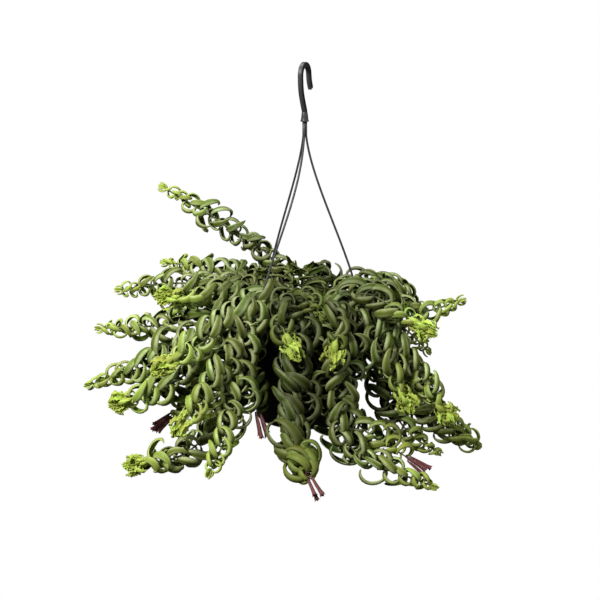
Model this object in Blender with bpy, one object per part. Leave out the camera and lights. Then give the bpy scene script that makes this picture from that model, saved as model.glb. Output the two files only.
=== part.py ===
"""A curly lipstick plant in a black hanging pot, with the pot's three-strand hanger and hook.

Metres, +Z up. The origin is the seat under the hook's crown, where the hook rests on what it hangs
from, and the pot's axis is the Z axis. -Y is the front.
"""

import math
import random
from collections import namedtuple

import bmesh
import bpy
from mathutils import Vector
from mathutils.bvhtree import BVHTree

# Heights of the main things, measured from the hook's seat
RIM_Z = -0.310
POT_HEIGHT = 0.120
POT_BASE_Z = RIM_Z - POT_HEIGHT

# Pot
POT_SIDES = 32
RIM_RADIUS = 0.076
RIM_BAND = 0.0016
LEDGE_Z = 0.106
LEDGE_THICKNESS = 0.002
WALL = 0.0014
WALL_TOP_RADIUS = 0.068
WALL_FOOT_RADIUS = 0.0603
BASE_THICKNESS = 0.002
FOOT_RECESS = 0.0025
FOOT_RADIUS = 0.056
FOOT_CORNER = 0.0045
RECESS_RADIUS = 0.049
FLOOR_RADIUS = 0.0545
INNER_CORNER = 0.008
DRAIN_COUNT = 6
DRAIN_RADIUS = 0.004
DRAIN_CIRCLE = 0.038

# Soil
SOIL_SIDES = 24
SOIL_TOP = 0.104
SOIL_CROWN = 0.0025
SOIL_SHOULDER = 0.045
SOIL_Z = POT_BASE_Z + SOIL_TOP
GAP = 0.0003

# Hanger
STRAND_RADIUS = 0.0013
STRAND_SIDES = 5
STRAND_AZIMUTHS = (2.0, 136.0, 215.0)
STRAND_TWISTS = (0.0, 14.0, 36.0)
STRAND_CIRCLE = 0.0716
STRAND_BUNDLE = 0.00175
STRAND_TOP_Z = -0.0574
STRAND_SPLIT_Z = -0.0795
STRAND_BEND = (0.0089, -0.1458)
STRAND_FALL = (0.0713, -0.2483)
ANCHOR_RADIUS = 0.0027
ANCHOR_LENGTH = 0.0045
EYE_RADIUS = 0.0021

HOOK_TURN = math.radians(66)
HOOK_THICKNESS = 0.0060
HOOK_WIDTH = 0.0050
HOOK_FLANGE = 0.0017
HOOK_GROOVE = 0.0009
CROWN_RADIUS = 0.0120
CROWN_STEP = 30
COLLAR_SIDES = 12

# The collar under the hook, hollow below for the strands, as (radius, height)
COLLAR_PROFILE = [(0.0, -0.0510), (0.0030, -0.0518), (0.0040, -0.0555), (0.0043, -0.0605),
                  (0.0050, -0.0635), (0.0037, -0.0635), (0.0035, -0.0570), (0.0, -0.0570)]

# Stems
STEM_FOOT_RADIUS = 0.0019
STEM_TIP_RADIUS = 0.0011
ROOT_DEPTH = 0.010
ROOT_HOLE_RADIUS = 0.0040
ROOT_SPACING = 0.0085
UPRIGHT_HEIGHT = 0.009
ROUTE_STEP = 0.002
BARE_STEP = 0.018
NODE_HALF = 0.0018
STEM_CLEARANCE = 0.0008

# Leaves. A leaf is a strap that curls back towards the foot of its stem.
LEAF_LENGTH = 0.060
LEAF_HALF_WIDTH = 0.0057
LEAF_THICKNESS = 0.0013
LEAF_CAMBER = 0.52
LEAF_LEAN = (14, 54)
LEAF_CURL = (235, 340)
LEAF_OVAL = 0.32
LEAF_SWING = (8, 54)
LEAF_CONE = (6, 30)
SWING_SHARE = 0.35
LEAF_DRIFT = 0.0035
UPRIGHT_LEAN = (42, 66)
UPRIGHT_CURL = (70, 170)
LEAF_STEPS = 40
ROLL_STEP = 97
INTERNODE = 0.0088
KEPT_EVERY = 4
BARE_LENGTH = 0.040
CLEARANCE = 0.0004

# The bright tuft at a stem's end, with its leaf pairs as (distance from the tip, size, lean, curl)
TUFT_LENGTH = 0.018
TUFT_PAIRS = ((0.0150, 0.44, 34, 235), (0.0095, 0.40, 52, 210), (0.0045, 0.34, 72, 180))
TUFT_BREADTH = 2.2
TUFT_ROLL_STEP = 95

# The maroon buds at a stem's end: pairs of tubes, each tube as (distance along it, radius)
BUD_LENGTH = 0.012
BUD_PAIRS = (0.009, 0.005)
BUD_BLUNT = 0.0015
BUD_LEAN = 86
BUD_NECK = (0.0024, 0.0014)
BUD_TUBE = ((0.0, 0.0010), (0.010, 0.0018), (0.021, 0.0021), (0.0260, 0.0028))
SMALL_NODE_HALF = 0.0011

END_LENGTHS = {"tip": 0.0, "spike": 0.0, "tuft": TUFT_LENGTH, "buds": BUD_LENGTH}

# How much further from the tip a leaf counts as being, because leaves stay large up to buds and tufts
END_LEADS = {"tip": 0.0, "spike": 0.012, "tuft": 0.012, "buds": 0.055}

Stem = namedtuple("Stem", "name points end size")

# Each stem's way out of the pot: points of (azimuth in degrees, radius, height above the rim) in
# millimetres, counted anticlockwise from +X. The end is a plain tip, a bright tuft or buds, or the
# stem is a spike, whose leaves stand up and hardly curl.
FRONT_STEMS = [
    Stem("front_low", [(264, 84, 6), (264, 98, -72), (264, 122, -113), (273, 151, -150)], "buds", 1.15),
    Stem("front_left_tip", [(252, 80, 38), (257, 106, 16), (266, 122, -10)], "tuft", 0.85),
    Stem("front_right_tip", [(298, 82, 30), (291, 106, 10), (286, 118, -22)], "tuft", 0.85),
    Stem("front_right_long", [(290, 84, 6), (290, 96, -76), (297, 125, -125), (320, 198, -166)], "tip", 1.0),
    Stem("front_right_bud", [(308, 84, 6), (305, 100, -94), (321, 164, -143)], "buds", 1.0),
    Stem("left_reach", [(180, 82, 16), (180, 172, -3), (180, 256, -8)], "tip", 0.95),
    Stem("left_bright", [(188, 82, 38), (189, 128, 38), (190, 178, 38)], "tuft", 1.0),
    Stem("left_arch", [(202, 84, 12), (191, 190, -43), (186, 268, -73)], "tip", 1.0),
    Stem("left_front_bright", [(226, 80, 38), (217, 150, -2), (212, 205, -31)], "tuft", 1.05),
    Stem("left_bent", [(210, 84, 4), (201, 170, -62), (197, 240, -86)], "tuft", 1.05),
    Stem("left_under", [(192, 84, 0), (190, 128, -82), (188, 172, -122)], "buds", 0.9),
    Stem("left_low_bright", [(236, 82, 32), (225, 155, -52), (221, 198, -98)], "tuft", 0.95),
    Stem("left_trail", [(217, 84, -2), (213, 118, -100), (211, 168, -144), (207, 236, -151)], "tuft", 1.05),
    Stem("left_drop", [(234, 84, 16), (233, 146, -98), (234, 186, -141)], "tip", 1.0),
    Stem("left_bud", [(226, 84, 4), (229, 104, -52), (239, 113, -94)], "buds", 0.95),
    Stem("right_front_bright", [(320, 82, 20), (322, 128, -36), (324, 154, -84)], "tuft", 0.95),
    Stem("right_bright", [(336, 82, 18), (336, 145, -46), (338, 190, -102)], "tuft", 0.95),
    Stem("right_low", [(0, 84, 4), (0, 118, -62), (0, 158, -114), (0, 220, -160)], "tip", 1.0),
    Stem("right_under", [(346, 84, 0), (345, 102, -88), (350, 134, -142), (354, 170, -168)], "tip", 1.0),
    Stem("right_reach", [(354, 82, 42), (351, 135, 19), (351, 194, 35)], "tip", 0.9),
    Stem("right_forward", [(328, 80, 46), (329, 134, 28), (330, 171, 8)], "tuft", 1.0),
    Stem("right_top", [(22, 78, 34), (26, 110, 27), (28, 132, 5)], "tip", 0.85),
    Stem("right_mid", [(13, 82, 12), (9, 130, -16), (7, 158, -44)], "tip", 0.85),
    Stem("right_deep", [(22, 84, 2), (13, 125, -48), (8, 168, -88)], "tip", 0.85),
    Stem("left_raised", [(136, 58, 69), (150, 126, 113), (157, 202, 156)], "tip", 0.82),
    Stem("left_back_high", [(143, 82, 40), (144, 160, 50), (147, 222, 51)], "tip", 0.9),
    Stem("left_back_low", [(165, 82, 32), (162, 165, 38), (166, 246, 27)], "tip", 0.9),
    Stem("top_left", [(100, 20, 30), (86, 40, 62)], "spike", 0.75),
    Stem("top_right", [(60, 30, 26), (68, 54, 43)], "tip", 0.75),
    Stem("top_front", [(268, 34, 24), (275, 66, 42), (283, 92, 30)], "tip", 0.9),
    Stem("top_middle", [(160, 16, 34), (122, 30, 68)], "spike", 0.7),
    Stem("top_back_left", [(125, 44, 30), (128, 80, 58)], "spike", 0.8),
    Stem("top_right_front", [(330, 38, 26), (342, 70, 48), (350, 94, 40)], "tip", 0.85),
]

# The hidden side follows a rule: stems in turn high and low round the back.
BACK_FIRST_AZIMUTH = 38
BACK_LAST_AZIMUTH = 158
BACK_COUNT = 7
BACK_HIGH = [(82, 34), (145, 26), (205, -22)]
BACK_LOW = [(84, 6), (120, -60), (166, -118)]


def millimetres(value):
    """A length given in millimetres, in metres."""
    return value / 1000.0


def clear_scene():
    for obj in list(bpy.data.objects):
        bpy.data.objects.remove(obj)


def make_material(name, colour, roughness, metallic=0.0):
    material = bpy.data.materials.new(name)
    material.use_nodes = True
    shader = material.node_tree.nodes["Principled BSDF"]
    shader.inputs["Base Color"].default_value = (*colour, 1.0)
    shader.inputs["Roughness"].default_value = roughness
    shader.inputs["Metallic"].default_value = metallic
    return material


def add_object(name, bm, material, smooth_angle=None):
    """Puts a bmesh in the scene as one object with its faces turned outwards."""
    bmesh.ops.recalc_face_normals(bm, faces=bm.faces[:])
    mesh = bpy.data.meshes.new(name)
    bm.to_mesh(mesh)
    bm.free()
    mesh.materials.append(material)
    if smooth_angle is not None:
        mesh.shade_smooth()
        mesh.set_sharp_from_angle(angle=math.radians(smooth_angle))
    obj = bpy.data.objects.new(name, mesh)
    bpy.context.scene.collection.objects.link(obj)
    return obj


def hide_as_helper(obj):
    obj.hide_render = True
    obj.display_type = "WIRE"


def add_boolean(obj, helper, operation):
    hide_as_helper(helper)
    modifier = obj.modifiers.new(operation.title(), "BOOLEAN")
    modifier.operation = operation
    modifier.object = helper


def turned(profile, sides):
    """A solid turned round Z from a profile of (radius, height) that starts and ends on the axis."""
    bm = bmesh.new()
    vertices = [bm.verts.new((r, 0.0, z)) for r, z in profile]
    edges = [bm.edges.new(pair) for pair in zip(vertices, vertices[1:])]
    bmesh.ops.spin(bm, geom=vertices + edges, cent=(0, 0, 0), axis=(0, 0, 1),
                   angle=2 * math.pi, steps=sides, use_merge=True)
    bmesh.ops.remove_doubles(bm, verts=bm.verts[:], dist=1e-6)
    return bm


def add_prism(bm, centre, radius, bottom, top, sides):
    """Adds an upright prism to a bmesh."""
    height = top - bottom
    made = bmesh.ops.create_cone(bm, cap_ends=True, segments=sides, radius1=radius, radius2=radius,
                                 depth=height)
    bmesh.ops.translate(bm, verts=made["verts"], vec=(centre[0], centre[1], bottom + height / 2))


def polar(azimuth, radius, z):
    angle = math.radians(azimuth)
    return Vector((radius * math.cos(angle), radius * math.sin(angle), z))


def pot_wall_radius(height):
    """Outer radius of the pot's wall at a height over its base."""
    share = height / LEDGE_Z
    return WALL_FOOT_RADIUS + share * (WALL_TOP_RADIUS - WALL_FOOT_RADIUS)


def make_pot(material):
    ledge_top = LEDGE_Z + LEDGE_THICKNESS
    band_inner = RIM_RADIUS - RIM_BAND
    floor = FOOT_RECESS + BASE_THICKNESS
    profile = [
        (0.0, FOOT_RECESS), (RECESS_RADIUS, FOOT_RECESS), (RECESS_RADIUS + 0.002, 0.0),
        (FOOT_RADIUS, 0.0), (pot_wall_radius(FOOT_CORNER), FOOT_CORNER), (WALL_TOP_RADIUS, LEDGE_Z),
        (RIM_RADIUS - 0.0006, LEDGE_Z), (RIM_RADIUS, LEDGE_Z + 0.0015),
        (RIM_RADIUS, POT_HEIGHT), (band_inner, POT_HEIGHT), (band_inner, ledge_top),
        (pot_wall_radius(ledge_top) - WALL, ledge_top),
        (pot_wall_radius(INNER_CORNER) - WALL, INNER_CORNER), (FLOOR_RADIUS, floor), (0.0, floor),
    ]
    bm = turned(profile, POT_SIDES)
    bmesh.ops.translate(bm, verts=bm.verts[:], vec=(0, 0, POT_BASE_Z))
    pot = add_object("pot", bm, material, smooth_angle=35)
    holes = bmesh.new()
    for i in range(DRAIN_COUNT):
        centre = polar(360 * i / DRAIN_COUNT, DRAIN_CIRCLE, 0)
        add_prism(holes, centre, DRAIN_RADIUS, POT_BASE_Z - 0.005, POT_BASE_Z + 0.010, 8)
    for azimuth in STRAND_AZIMUTHS:
        centre = polar(azimuth, STRAND_CIRCLE, 0)
        add_prism(holes, centre, EYE_RADIUS, POT_BASE_Z + LEDGE_Z - 0.004, POT_BASE_Z + ledge_top + 0.004, 8)
    add_boolean(pot, add_object("pot_hole_cutter", holes, material), "DIFFERENCE")
    return pot


def make_soil(material, roots):
    floor = FOOT_RECESS + BASE_THICKNESS + GAP
    low = INNER_CORNER + 0.0005
    inner = WALL + GAP
    profile = [
        (0.0, floor), (FLOOR_RADIUS - 0.0005, floor), (pot_wall_radius(low) - inner - 0.0002, low),
        (pot_wall_radius(SOIL_TOP) - inner - 0.0005, SOIL_TOP),
        (SOIL_SHOULDER, SOIL_TOP + SOIL_CROWN / 2), (0.0, SOIL_TOP + SOIL_CROWN),
    ]
    bm = turned(profile, SOIL_SIDES)
    bmesh.ops.translate(bm, verts=bm.verts[:], vec=(0, 0, POT_BASE_Z))
    soil = add_object("soil", bm, material, smooth_angle=35)
    holes = bmesh.new()
    for root in roots:
        add_prism(holes, root, ROOT_HOLE_RADIUS, root.z - GAP, SOIL_Z + 0.010, 4)
    add_boolean(soil, add_object("root_hole_cutter", holes, material), "DIFFERENCE")
    return soil


def hook_line():
    """The hook's middle line as (across, height), from the collar up, over the crown and down to the tip."""
    shank = [(0.0, -0.0555), (-0.0004, -0.0515), (-0.0036, -0.0445), (-0.0076, -0.0355),
             (-0.0106, -0.0260), (-0.0118, -0.0160)]
    centre = -CROWN_RADIUS + HOOK_THICKNESS / 2
    corner = CROWN_RADIUS / math.cos(math.radians(CROWN_STEP / 2))
    crown = []
    for i in range(6):
        angle = math.radians(165 - CROWN_STEP * i)
        crown.append((corner * math.cos(angle), centre + corner * math.sin(angle)))
    return shank + crown + [(0.0136, -0.0165), (0.0176, -0.0262)]


def hook_section():
    """The rod's outline as (in the hook's plane, across it): two flanges with a groove on each side."""
    a = HOOK_THICKNESS / 2
    b = HOOK_WIDTH / 2
    web = a - HOOK_FLANGE
    inner = b - HOOK_GROOVE
    return [(-a, -b), (-a, b), (-web, b), (-web, inner), (web, inner), (web, b),
            (a, b), (a, -b), (web, -b), (web, -inner), (-web, -inner), (-web, -b)]


def make_hook(material):
    across = Vector((math.cos(HOOK_TURN), math.sin(HOOK_TURN), 0))
    normal = Vector((-math.sin(HOOK_TURN), math.cos(HOOK_TURN), 0))
    line = [across * u + Vector((0, 0, z)) for u, z in hook_line()]
    bm = bmesh.new()
    rings = []
    for i, point in enumerate(line):
        before = (point - line[i - 1]).normalized() if i else (line[1] - point).normalized()
        after = (line[i + 1] - point).normalized() if i + 1 < len(line) else before
        tangent = (before + after).normalized()
        side = normal.cross(tangent)
        mitre = 1.0 / max(tangent.dot(before), 0.5)
        rings.append([bm.verts.new(point + side * a * mitre + normal * b) for a, b in hook_section()])
    for low, high in zip(rings, rings[1:]):
        for i in range(len(low)):
            j = (i + 1) % len(low)
            bm.faces.new((low[i], low[j], high[j], high[i]))
    bm.faces.new(rings[0])
    bm.faces.new(rings[-1])
    hook = add_object("hook", bm, material)
    collar = turned(COLLAR_PROFILE, COLLAR_SIDES)
    add_boolean(hook, add_object("hook_collar", collar, material), "UNION")
    return hook


def bezier(a, b, c, d, t):
    s = 1 - t
    return a * s ** 3 + b * 3 * s * s * t + c * 3 * s * t * t + d * t ** 3


def strand_line(azimuth, twist):
    """A strand's middle line and radius: from the collar to the rim, through its eye to the anchor.

    It leaves the bundle turned by the twist, and comes round to its own side on the way down.
    """
    ledge_top = POT_BASE_Z + LEDGE_Z + LEDGE_THICKNESS
    ledge_bottom = POT_BASE_Z + LEDGE_Z
    outer = polar(azimuth, STRAND_CIRCLE, 0)
    line = [(polar(azimuth + twist, STRAND_BUNDLE, STRAND_TOP_Z), STRAND_RADIUS)]
    steps = 13
    for i in range(steps + 1):
        t = i / steps
        radius = bezier(STRAND_BUNDLE, STRAND_BEND[0], STRAND_FALL[0], STRAND_CIRCLE, t)
        height = bezier(STRAND_SPLIT_Z, STRAND_BEND[1], STRAND_FALL[1], ledge_top + 0.004, t)
        line.append((polar(azimuth + twist * (1 - t) ** 2, radius, height), STRAND_RADIUS))
    anchor_top = ledge_bottom - GAP
    line.append((outer + Vector((0, 0, anchor_top)), STRAND_RADIUS))
    line.append((outer + Vector((0, 0, anchor_top - 0.0005)), ANCHOR_RADIUS))
    line.append((outer + Vector((0, 0, anchor_top - ANCHOR_LENGTH)), ANCHOR_RADIUS * 0.7))
    return line


def make_strand(name, azimuth, twist, material):
    line = strand_line(azimuth, twist)
    bm = bmesh.new()
    side = polar(azimuth + 90, 1, 0)
    rings = []
    for i, (point, radius) in enumerate(line):
        ahead = line[min(i + 1, len(line) - 1)][0] - line[max(i - 1, 0)][0]
        other = side.cross(ahead).normalized()
        ring = []
        for j in range(STRAND_SIDES):
            angle = 2 * math.pi * j / STRAND_SIDES
            ring.append(bm.verts.new(point + (side * math.cos(angle) + other * math.sin(angle)) * radius))
        rings.append(ring)
    for low, high in zip(rings, rings[1:]):
        for i in range(STRAND_SIDES):
            j = (i + 1) % STRAND_SIDES
            bm.faces.new((low[i], low[j], high[j], high[i]))
    bm.faces.new(rings[0])
    bm.faces.new(rings[-1])
    return add_object(name, bm, material, smooth_angle=60)


class Route:
    """A stem's middle line as points a fixed step apart, each with a frame that doesn't spin."""

    def __init__(self, waypoints):
        points = spline_points(waypoints)
        self.points = even_points(points, ROUTE_STEP)
        self.length = ROUTE_STEP * (len(self.points) - 1)
        self.tangents = []
        self.ups = []
        up = Vector((waypoints[-1].x, waypoints[-1].y, 0)).normalized()
        for i in range(len(self.points)):
            ahead = self.points[min(i + 1, len(self.points) - 1)] - self.points[max(i - 1, 0)]
            tangent = ahead.normalized()
            up = (up - tangent * up.dot(tangent)).normalized()
            self.tangents.append(tangent)
            self.ups.append(up.copy())

    def frame(self, distance):
        """(point, tangent, up) at a distance along the line."""
        place = min(max(distance / ROUTE_STEP, 0), len(self.points) - 1.001)
        i = int(place)
        t = place - i
        point = self.points[i].lerp(self.points[i + 1], t)
        tangent = self.tangents[i].lerp(self.tangents[i + 1], t).normalized()
        up = self.ups[i].lerp(self.ups[i + 1], t)
        return point, tangent, (up - tangent * up.dot(tangent)).normalized()


def spline_points(waypoints):
    """A centripetal Catmull-Rom curve through the waypoints."""
    ends = [waypoints[0] * 2 - waypoints[1], *waypoints, waypoints[-1] * 2 - waypoints[-2]]
    made = [waypoints[0]]
    for p0, p1, p2, p3 in zip(ends, ends[1:], ends[2:], ends[3:]):
        t0 = 0.0
        t1 = t0 + math.sqrt((p1 - p0).length)
        t2 = t1 + math.sqrt((p2 - p1).length)
        t3 = t2 + math.sqrt((p3 - p2).length)
        for i in range(1, 25):
            t = t1 + (t2 - t1) * i / 24
            a1 = p0 * ((t1 - t) / (t1 - t0)) + p1 * ((t - t0) / (t1 - t0))
            a2 = p1 * ((t2 - t) / (t2 - t1)) + p2 * ((t - t1) / (t2 - t1))
            a3 = p2 * ((t3 - t) / (t3 - t2)) + p3 * ((t - t2) / (t3 - t2))
            b1 = a1 * ((t2 - t) / (t2 - t0)) + a2 * ((t - t0) / (t2 - t0))
            b2 = a2 * ((t3 - t) / (t3 - t1)) + a3 * ((t - t1) / (t3 - t1))
            made.append(b1 * ((t2 - t) / (t2 - t1)) + b2 * ((t - t1) / (t2 - t1)))
    return made


def even_points(points, step):
    """The same line as points a fixed step apart."""
    made = [points[0]]
    left = step
    for a, b in zip(points, points[1:]):
        run = (b - a).length
        done = 0.0
        while run - done >= left:
            done += left
            made.append(a.lerp(b, done / run))
            left = step
        left -= run - done
    return made


def node_distances(leafy_length):
    """Distances back from the tip at which leaf pairs grow: close at the tip, then an even step."""
    found = []
    distance = 0.0
    while True:
        distance += INTERNODE * (1 - math.exp(-(len(found) + 1) / 4))
        if distance > leafy_length:
            return found
        found.append(distance)


def leaf_scale(distance):
    """Size of a leaf against a full one, by its distance from the tip."""
    return min(1.0, 0.36 + 0.64 * (distance / 0.058) ** 0.8)


def leaf_width(u):
    """Half width along the leaf against its widest, from stalk (0) to tip (1)."""
    if u < 0.10:
        return 0.20 + 1.5 * u
    return max(0.0, math.sin(math.pi * min(1.0, 0.10 + 0.90 * u) ** 0.90)) ** 0.95


# A leaf grows outwards from its root and curls back. Past its foot it swings round, out of the plane
# of the stem, and tips over like the side of a cone.
Leaf = namedtuple("Leaf", "root tangent out size lean curl drift breadth swing cone")


def leaf_sections(leaf, stations, extra=0.0):
    """At each station the two edges and the keel on the outer side of the curl, then the tip point."""
    sideways = leaf.tangent.cross(leaf.out).normalized()
    length = LEAF_LENGTH * leaf.size
    half_width = LEAF_HALF_WIDTH * leaf.size * leaf.breadth
    point = leaf.root.copy()
    sections = []
    wanted = list(stations)
    for i in range(LEAF_STEPS + 1):
        u = i / LEAF_STEPS
        turned = u + LEAF_OVAL / (2 * math.pi) * math.sin(2 * math.pi * u)
        angle = math.radians(leaf.lean - leaf.curl * turned)
        share = min(1.0, u / SWING_SHARE)
        swing = math.radians(leaf.swing * share)
        forward = leaf.tangent * math.cos(swing) + sideways * math.sin(swing)
        heading = leaf.out * math.cos(angle) + forward * math.sin(angle)
        if wanted and u >= wanted[0] - 1e-9:
            wanted.pop(0)
            cone = math.radians(leaf.cone * share)
            flat = sideways * math.cos(swing) - leaf.tangent * math.sin(swing)
            raised = forward * math.cos(angle) - leaf.out * math.sin(angle)
            across = flat * math.cos(cone) + raised * math.sin(cone)
            outward = raised * math.cos(cone) - flat * math.sin(cone)
            half = half_width * leaf_width(u) + extra
            fall = LEAF_CAMBER * half + extra
            crest = LEAF_THICKNESS * (0.6 + 0.4 * leaf.size) + extra
            centre = point + flat * (leaf.drift * u)
            sections.append((centre + across * half - outward * fall,
                             centre + outward * crest,
                             centre - across * half - outward * fall))
        point = point + heading * (length / LEAF_STEPS)
    return sections, point + flat * leaf.drift


def stations_for(size):
    """Where a leaf's sections stand along it: fewer on a small one."""
    if size < 0.5:
        return (0.20, 0.55)
    if size < 0.80:
        return (0.15, 0.425, 0.75)
    return (0.125, 0.35, 0.60, 0.825)


def blade_faces(count):
    """The triangles of a leaf past its root, over its sections' points in order and then its tip."""
    faces = []
    for k in range(count - 1):
        r0, k0, l0, r1, k1, l1 = range(3 * k, 3 * k + 6)
        faces += [(r0, k0, r1), (k0, k1, r1), (k0, l0, l1), (k0, l1, k1), (l0, r0, r1), (l0, r1, l1)]
    right, keel, left, tip = range(3 * count - 3, 3 * count + 1)
    return faces + [(right, keel, tip), (keel, left, tip), (left, right, tip)]


def root_faces(first):
    """The triangles between a leaf's root, four points from the one numbered first, and its first section."""
    near_left, near_right, far_right, far_left = range(first, first + 4)
    right, keel, left = range(3)
    return [(near_left, near_right, right), (near_left, right, left), (near_right, far_right, keel),
            (near_right, keel, right), (far_right, far_left, keel), (far_left, near_left, left),
            (far_left, left, keel)]


def leaf_tree(leaf, roots):
    """A slightly swollen copy of the leaf, in millimetres, for finding what it would touch."""
    sections, tip = leaf_sections(leaf, stations_for(leaf.size), CLEARANCE)
    points = [p for section in sections for p in section] + [tip]
    faces = blade_faces(len(sections))
    if roots:
        across = leaf.tangent.cross(leaf.out).normalized() * (STEM_FOOT_RADIUS * 0.8)
        ahead = leaf.tangent * (NODE_HALF + CLEARANCE)
        faces += root_faces(len(points))
        points += [leaf.root - across - ahead, leaf.root + across - ahead,
                   leaf.root + across + ahead, leaf.root - across + ahead]
    return BVHTree.FromPolygons([p * 1000 for p in points], faces)


def leaf_reach(leaf):
    """A sphere that holds the leaf, as (centre, radius)."""
    length = LEAF_LENGTH * leaf.size
    curled = leaf.curl > UPRIGHT_CURL[1]
    radius = length * (0.42 if curled else 0.75) + 0.006
    centre = leaf.root + leaf.out * (0.20 * length)
    if curled:
        centre = centre - leaf.tangent * (0.14 * length)
    return centre, radius


def is_clear(leaf, own_tube, placed):
    """True if the leaf touches neither its own stem past the stalk nor anything already there."""
    blade = leaf_tree(leaf, roots=False)
    if blade.overlap(own_tube):
        return False
    whole = leaf_tree(leaf, roots=True)
    centre, radius = leaf_reach(leaf)
    for tree, (other_centre, other_radius) in placed:
        if other_radius and (centre - other_centre).length > radius + other_radius:
            continue
        if whole.overlap(tree):
            return False
    return True


# Ways to bend a leaf that has no room: turned round the stem, leaning more or less, then smaller.
BENDS = [(0, 0, 1.0), (14, 0, 1.0), (-14, 0, 1.0), (0, 20, 1.0), (28, 8, 0.95), (-28, 8, 0.95),
         (0, -18, 0.9), (18, 15, 0.85), (-18, 15, 0.85), (40, 0, 0.8), (-40, 0, 0.8), (0, 25, 0.75),
         (25, 0, 0.65), (-25, 0, 0.65), (0, 10, 0.55)]


def side_root(plan, along, angle):
    """(root, tangent, outward direction) for what grows at that place and angle on a stem's side."""
    point, tangent, up = plan.route.frame(along)
    direction = math.radians(angle)
    out = up * math.cos(direction) + tangent.cross(up) * math.sin(direction)
    return point + out * plan.radius(along) * math.cos(math.pi / 4), tangent, out


def place_leaf(plan, key, along, angle, size, own_tube, placed):
    """A leaf at a node of the stem, bent until it is clear, or None where there is no room."""
    draw = random.Random(key)
    grown = size * draw.uniform(0.88, 1.12)
    lean = draw.uniform(*(UPRIGHT_LEAN if plan.upright else LEAF_LEAN))
    curl = draw.uniform(*(UPRIGHT_CURL if plan.upright else LEAF_CURL))
    drift = draw.uniform(-LEAF_DRIFT, LEAF_DRIFT) * size
    swing = draw.uniform(*LEAF_SWING) * plan.swirl
    cone = draw.uniform(*LEAF_CONE) * plan.swirl
    for turn, more_lean, shrink in BENDS:
        root, tangent, out = side_root(plan, along, angle + turn)
        leaf = Leaf(root, tangent, out, grown * shrink, lean + more_lean, curl, drift, 1.0, swing, cone)
        if is_clear(leaf, own_tube, placed):
            return leaf
    return None


class Plan:
    """What one stem, or the tuft or buds at its end, is made of: its rings, and what grows on their faces."""

    def __init__(self, name, route, roll):
        self.name = name
        self.route = route
        self.turn = roll
        self.swirl = 1 if len(name) % 2 else -1
        self.upright = False
        self.rings = []
        self.leaves = {}
        self.buds = {}

    def radius(self, along):
        return STEM_FOOT_RADIUS + (STEM_TIP_RADIUS - STEM_FOOT_RADIUS) * along / self.route.length

    def add_ring(self, along):
        self.rings.append((along, self.turn))

    def face_for(self, angle):
        """Turns the square section as little as it takes to face a leaf that way, and says which face."""
        best = min(range(4), key=lambda j: abs((angle - 90 * j - self.turn + 180) % 360 - 180))
        self.turn += (angle - 90 * best - self.turn + 180) % 360 - 180
        return best

    def corners(self, ring, extra=0.0):
        along, turn = ring
        point, tangent, up = self.route.frame(along)
        across = tangent.cross(up)
        radius = self.radius(along) + extra
        found = []
        for j in range(4):
            angle = math.radians(turn - 45 + 90 * j)
            found.append(point + (up * math.cos(angle) + across * math.sin(angle)) * radius)
        return found

    def tube(self, extra):
        points = []
        faces = []
        for ring in self.rings:
            points += [p * 1000 for p in self.corners(ring, extra)]
        for k in range(len(self.rings) - 1):
            for j in range(4):
                a, b = 4 * k + j, 4 * k + (j + 1) % 4
                faces.append((a, b, b + 4, a + 4))
        return BVHTree.FromPolygons(points, faces)


def lay_out_stem(stem, route, roll):
    """The rings of a stem, and where its leaf pairs stand: (ring, face, along, angle, size)."""
    plan = Plan(f"stem_{stem.name}", route, roll)
    plan.upright = stem.end == "spike"
    pairs = []
    end = END_LENGTHS[stem.end]
    stop = route.length - end - (GAP if end else 0.0)
    distances = node_distances(route.length - BARE_LENGTH)
    wanted = [(i, d) for i, d in enumerate(distances) if i % KEPT_EVERY == 1 and d > end + 2 * NODE_HALF]
    first = route.length - wanted[-1][1]
    plan.add_ring(0.0)
    bend = ROOT_DEPTH + UPRIGHT_HEIGHT - 0.003
    bare = max(1, round((first - bend) / BARE_STEP))
    for i in range(bare):
        plan.add_ring(bend + (first - NODE_HALF - bend) * i / bare)
    for i, distance in reversed(wanted):
        scale = leaf_scale(distance + END_LEADS[stem.end])
        add_pair(plan, pairs, route.length - distance, NODE_HALF * (0.5 + 0.5 * scale),
                 roll + ROLL_STEP * i, stem.size * scale)
    plan.add_ring(stop)
    return plan, pairs


def add_pair(plan, pairs, along, half, angle, size):
    """Makes room on the stem for two leaves or buds, one each side."""
    face = plan.face_for(angle)
    pairs.append((len(plan.rings), face, along, angle, size))
    plan.add_ring(along - half)
    plan.add_ring(along + half)


def add_leaves(plan, pairs, placed):
    own_tube = plan.tube(0.0)
    for ring, face, along, angle, size in pairs:
        for side in (0, 1):
            key = f"{plan.name} {round(along * 1e6)} {side}"
            leaf = place_leaf(plan, key, along, angle + 180 * side, size, own_tube, placed)
            if leaf:
                plan.leaves[(ring, (face + 2 * side) % 4)] = leaf
                placed.append((leaf_tree(leaf, roots=True), leaf_reach(leaf)))


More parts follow.
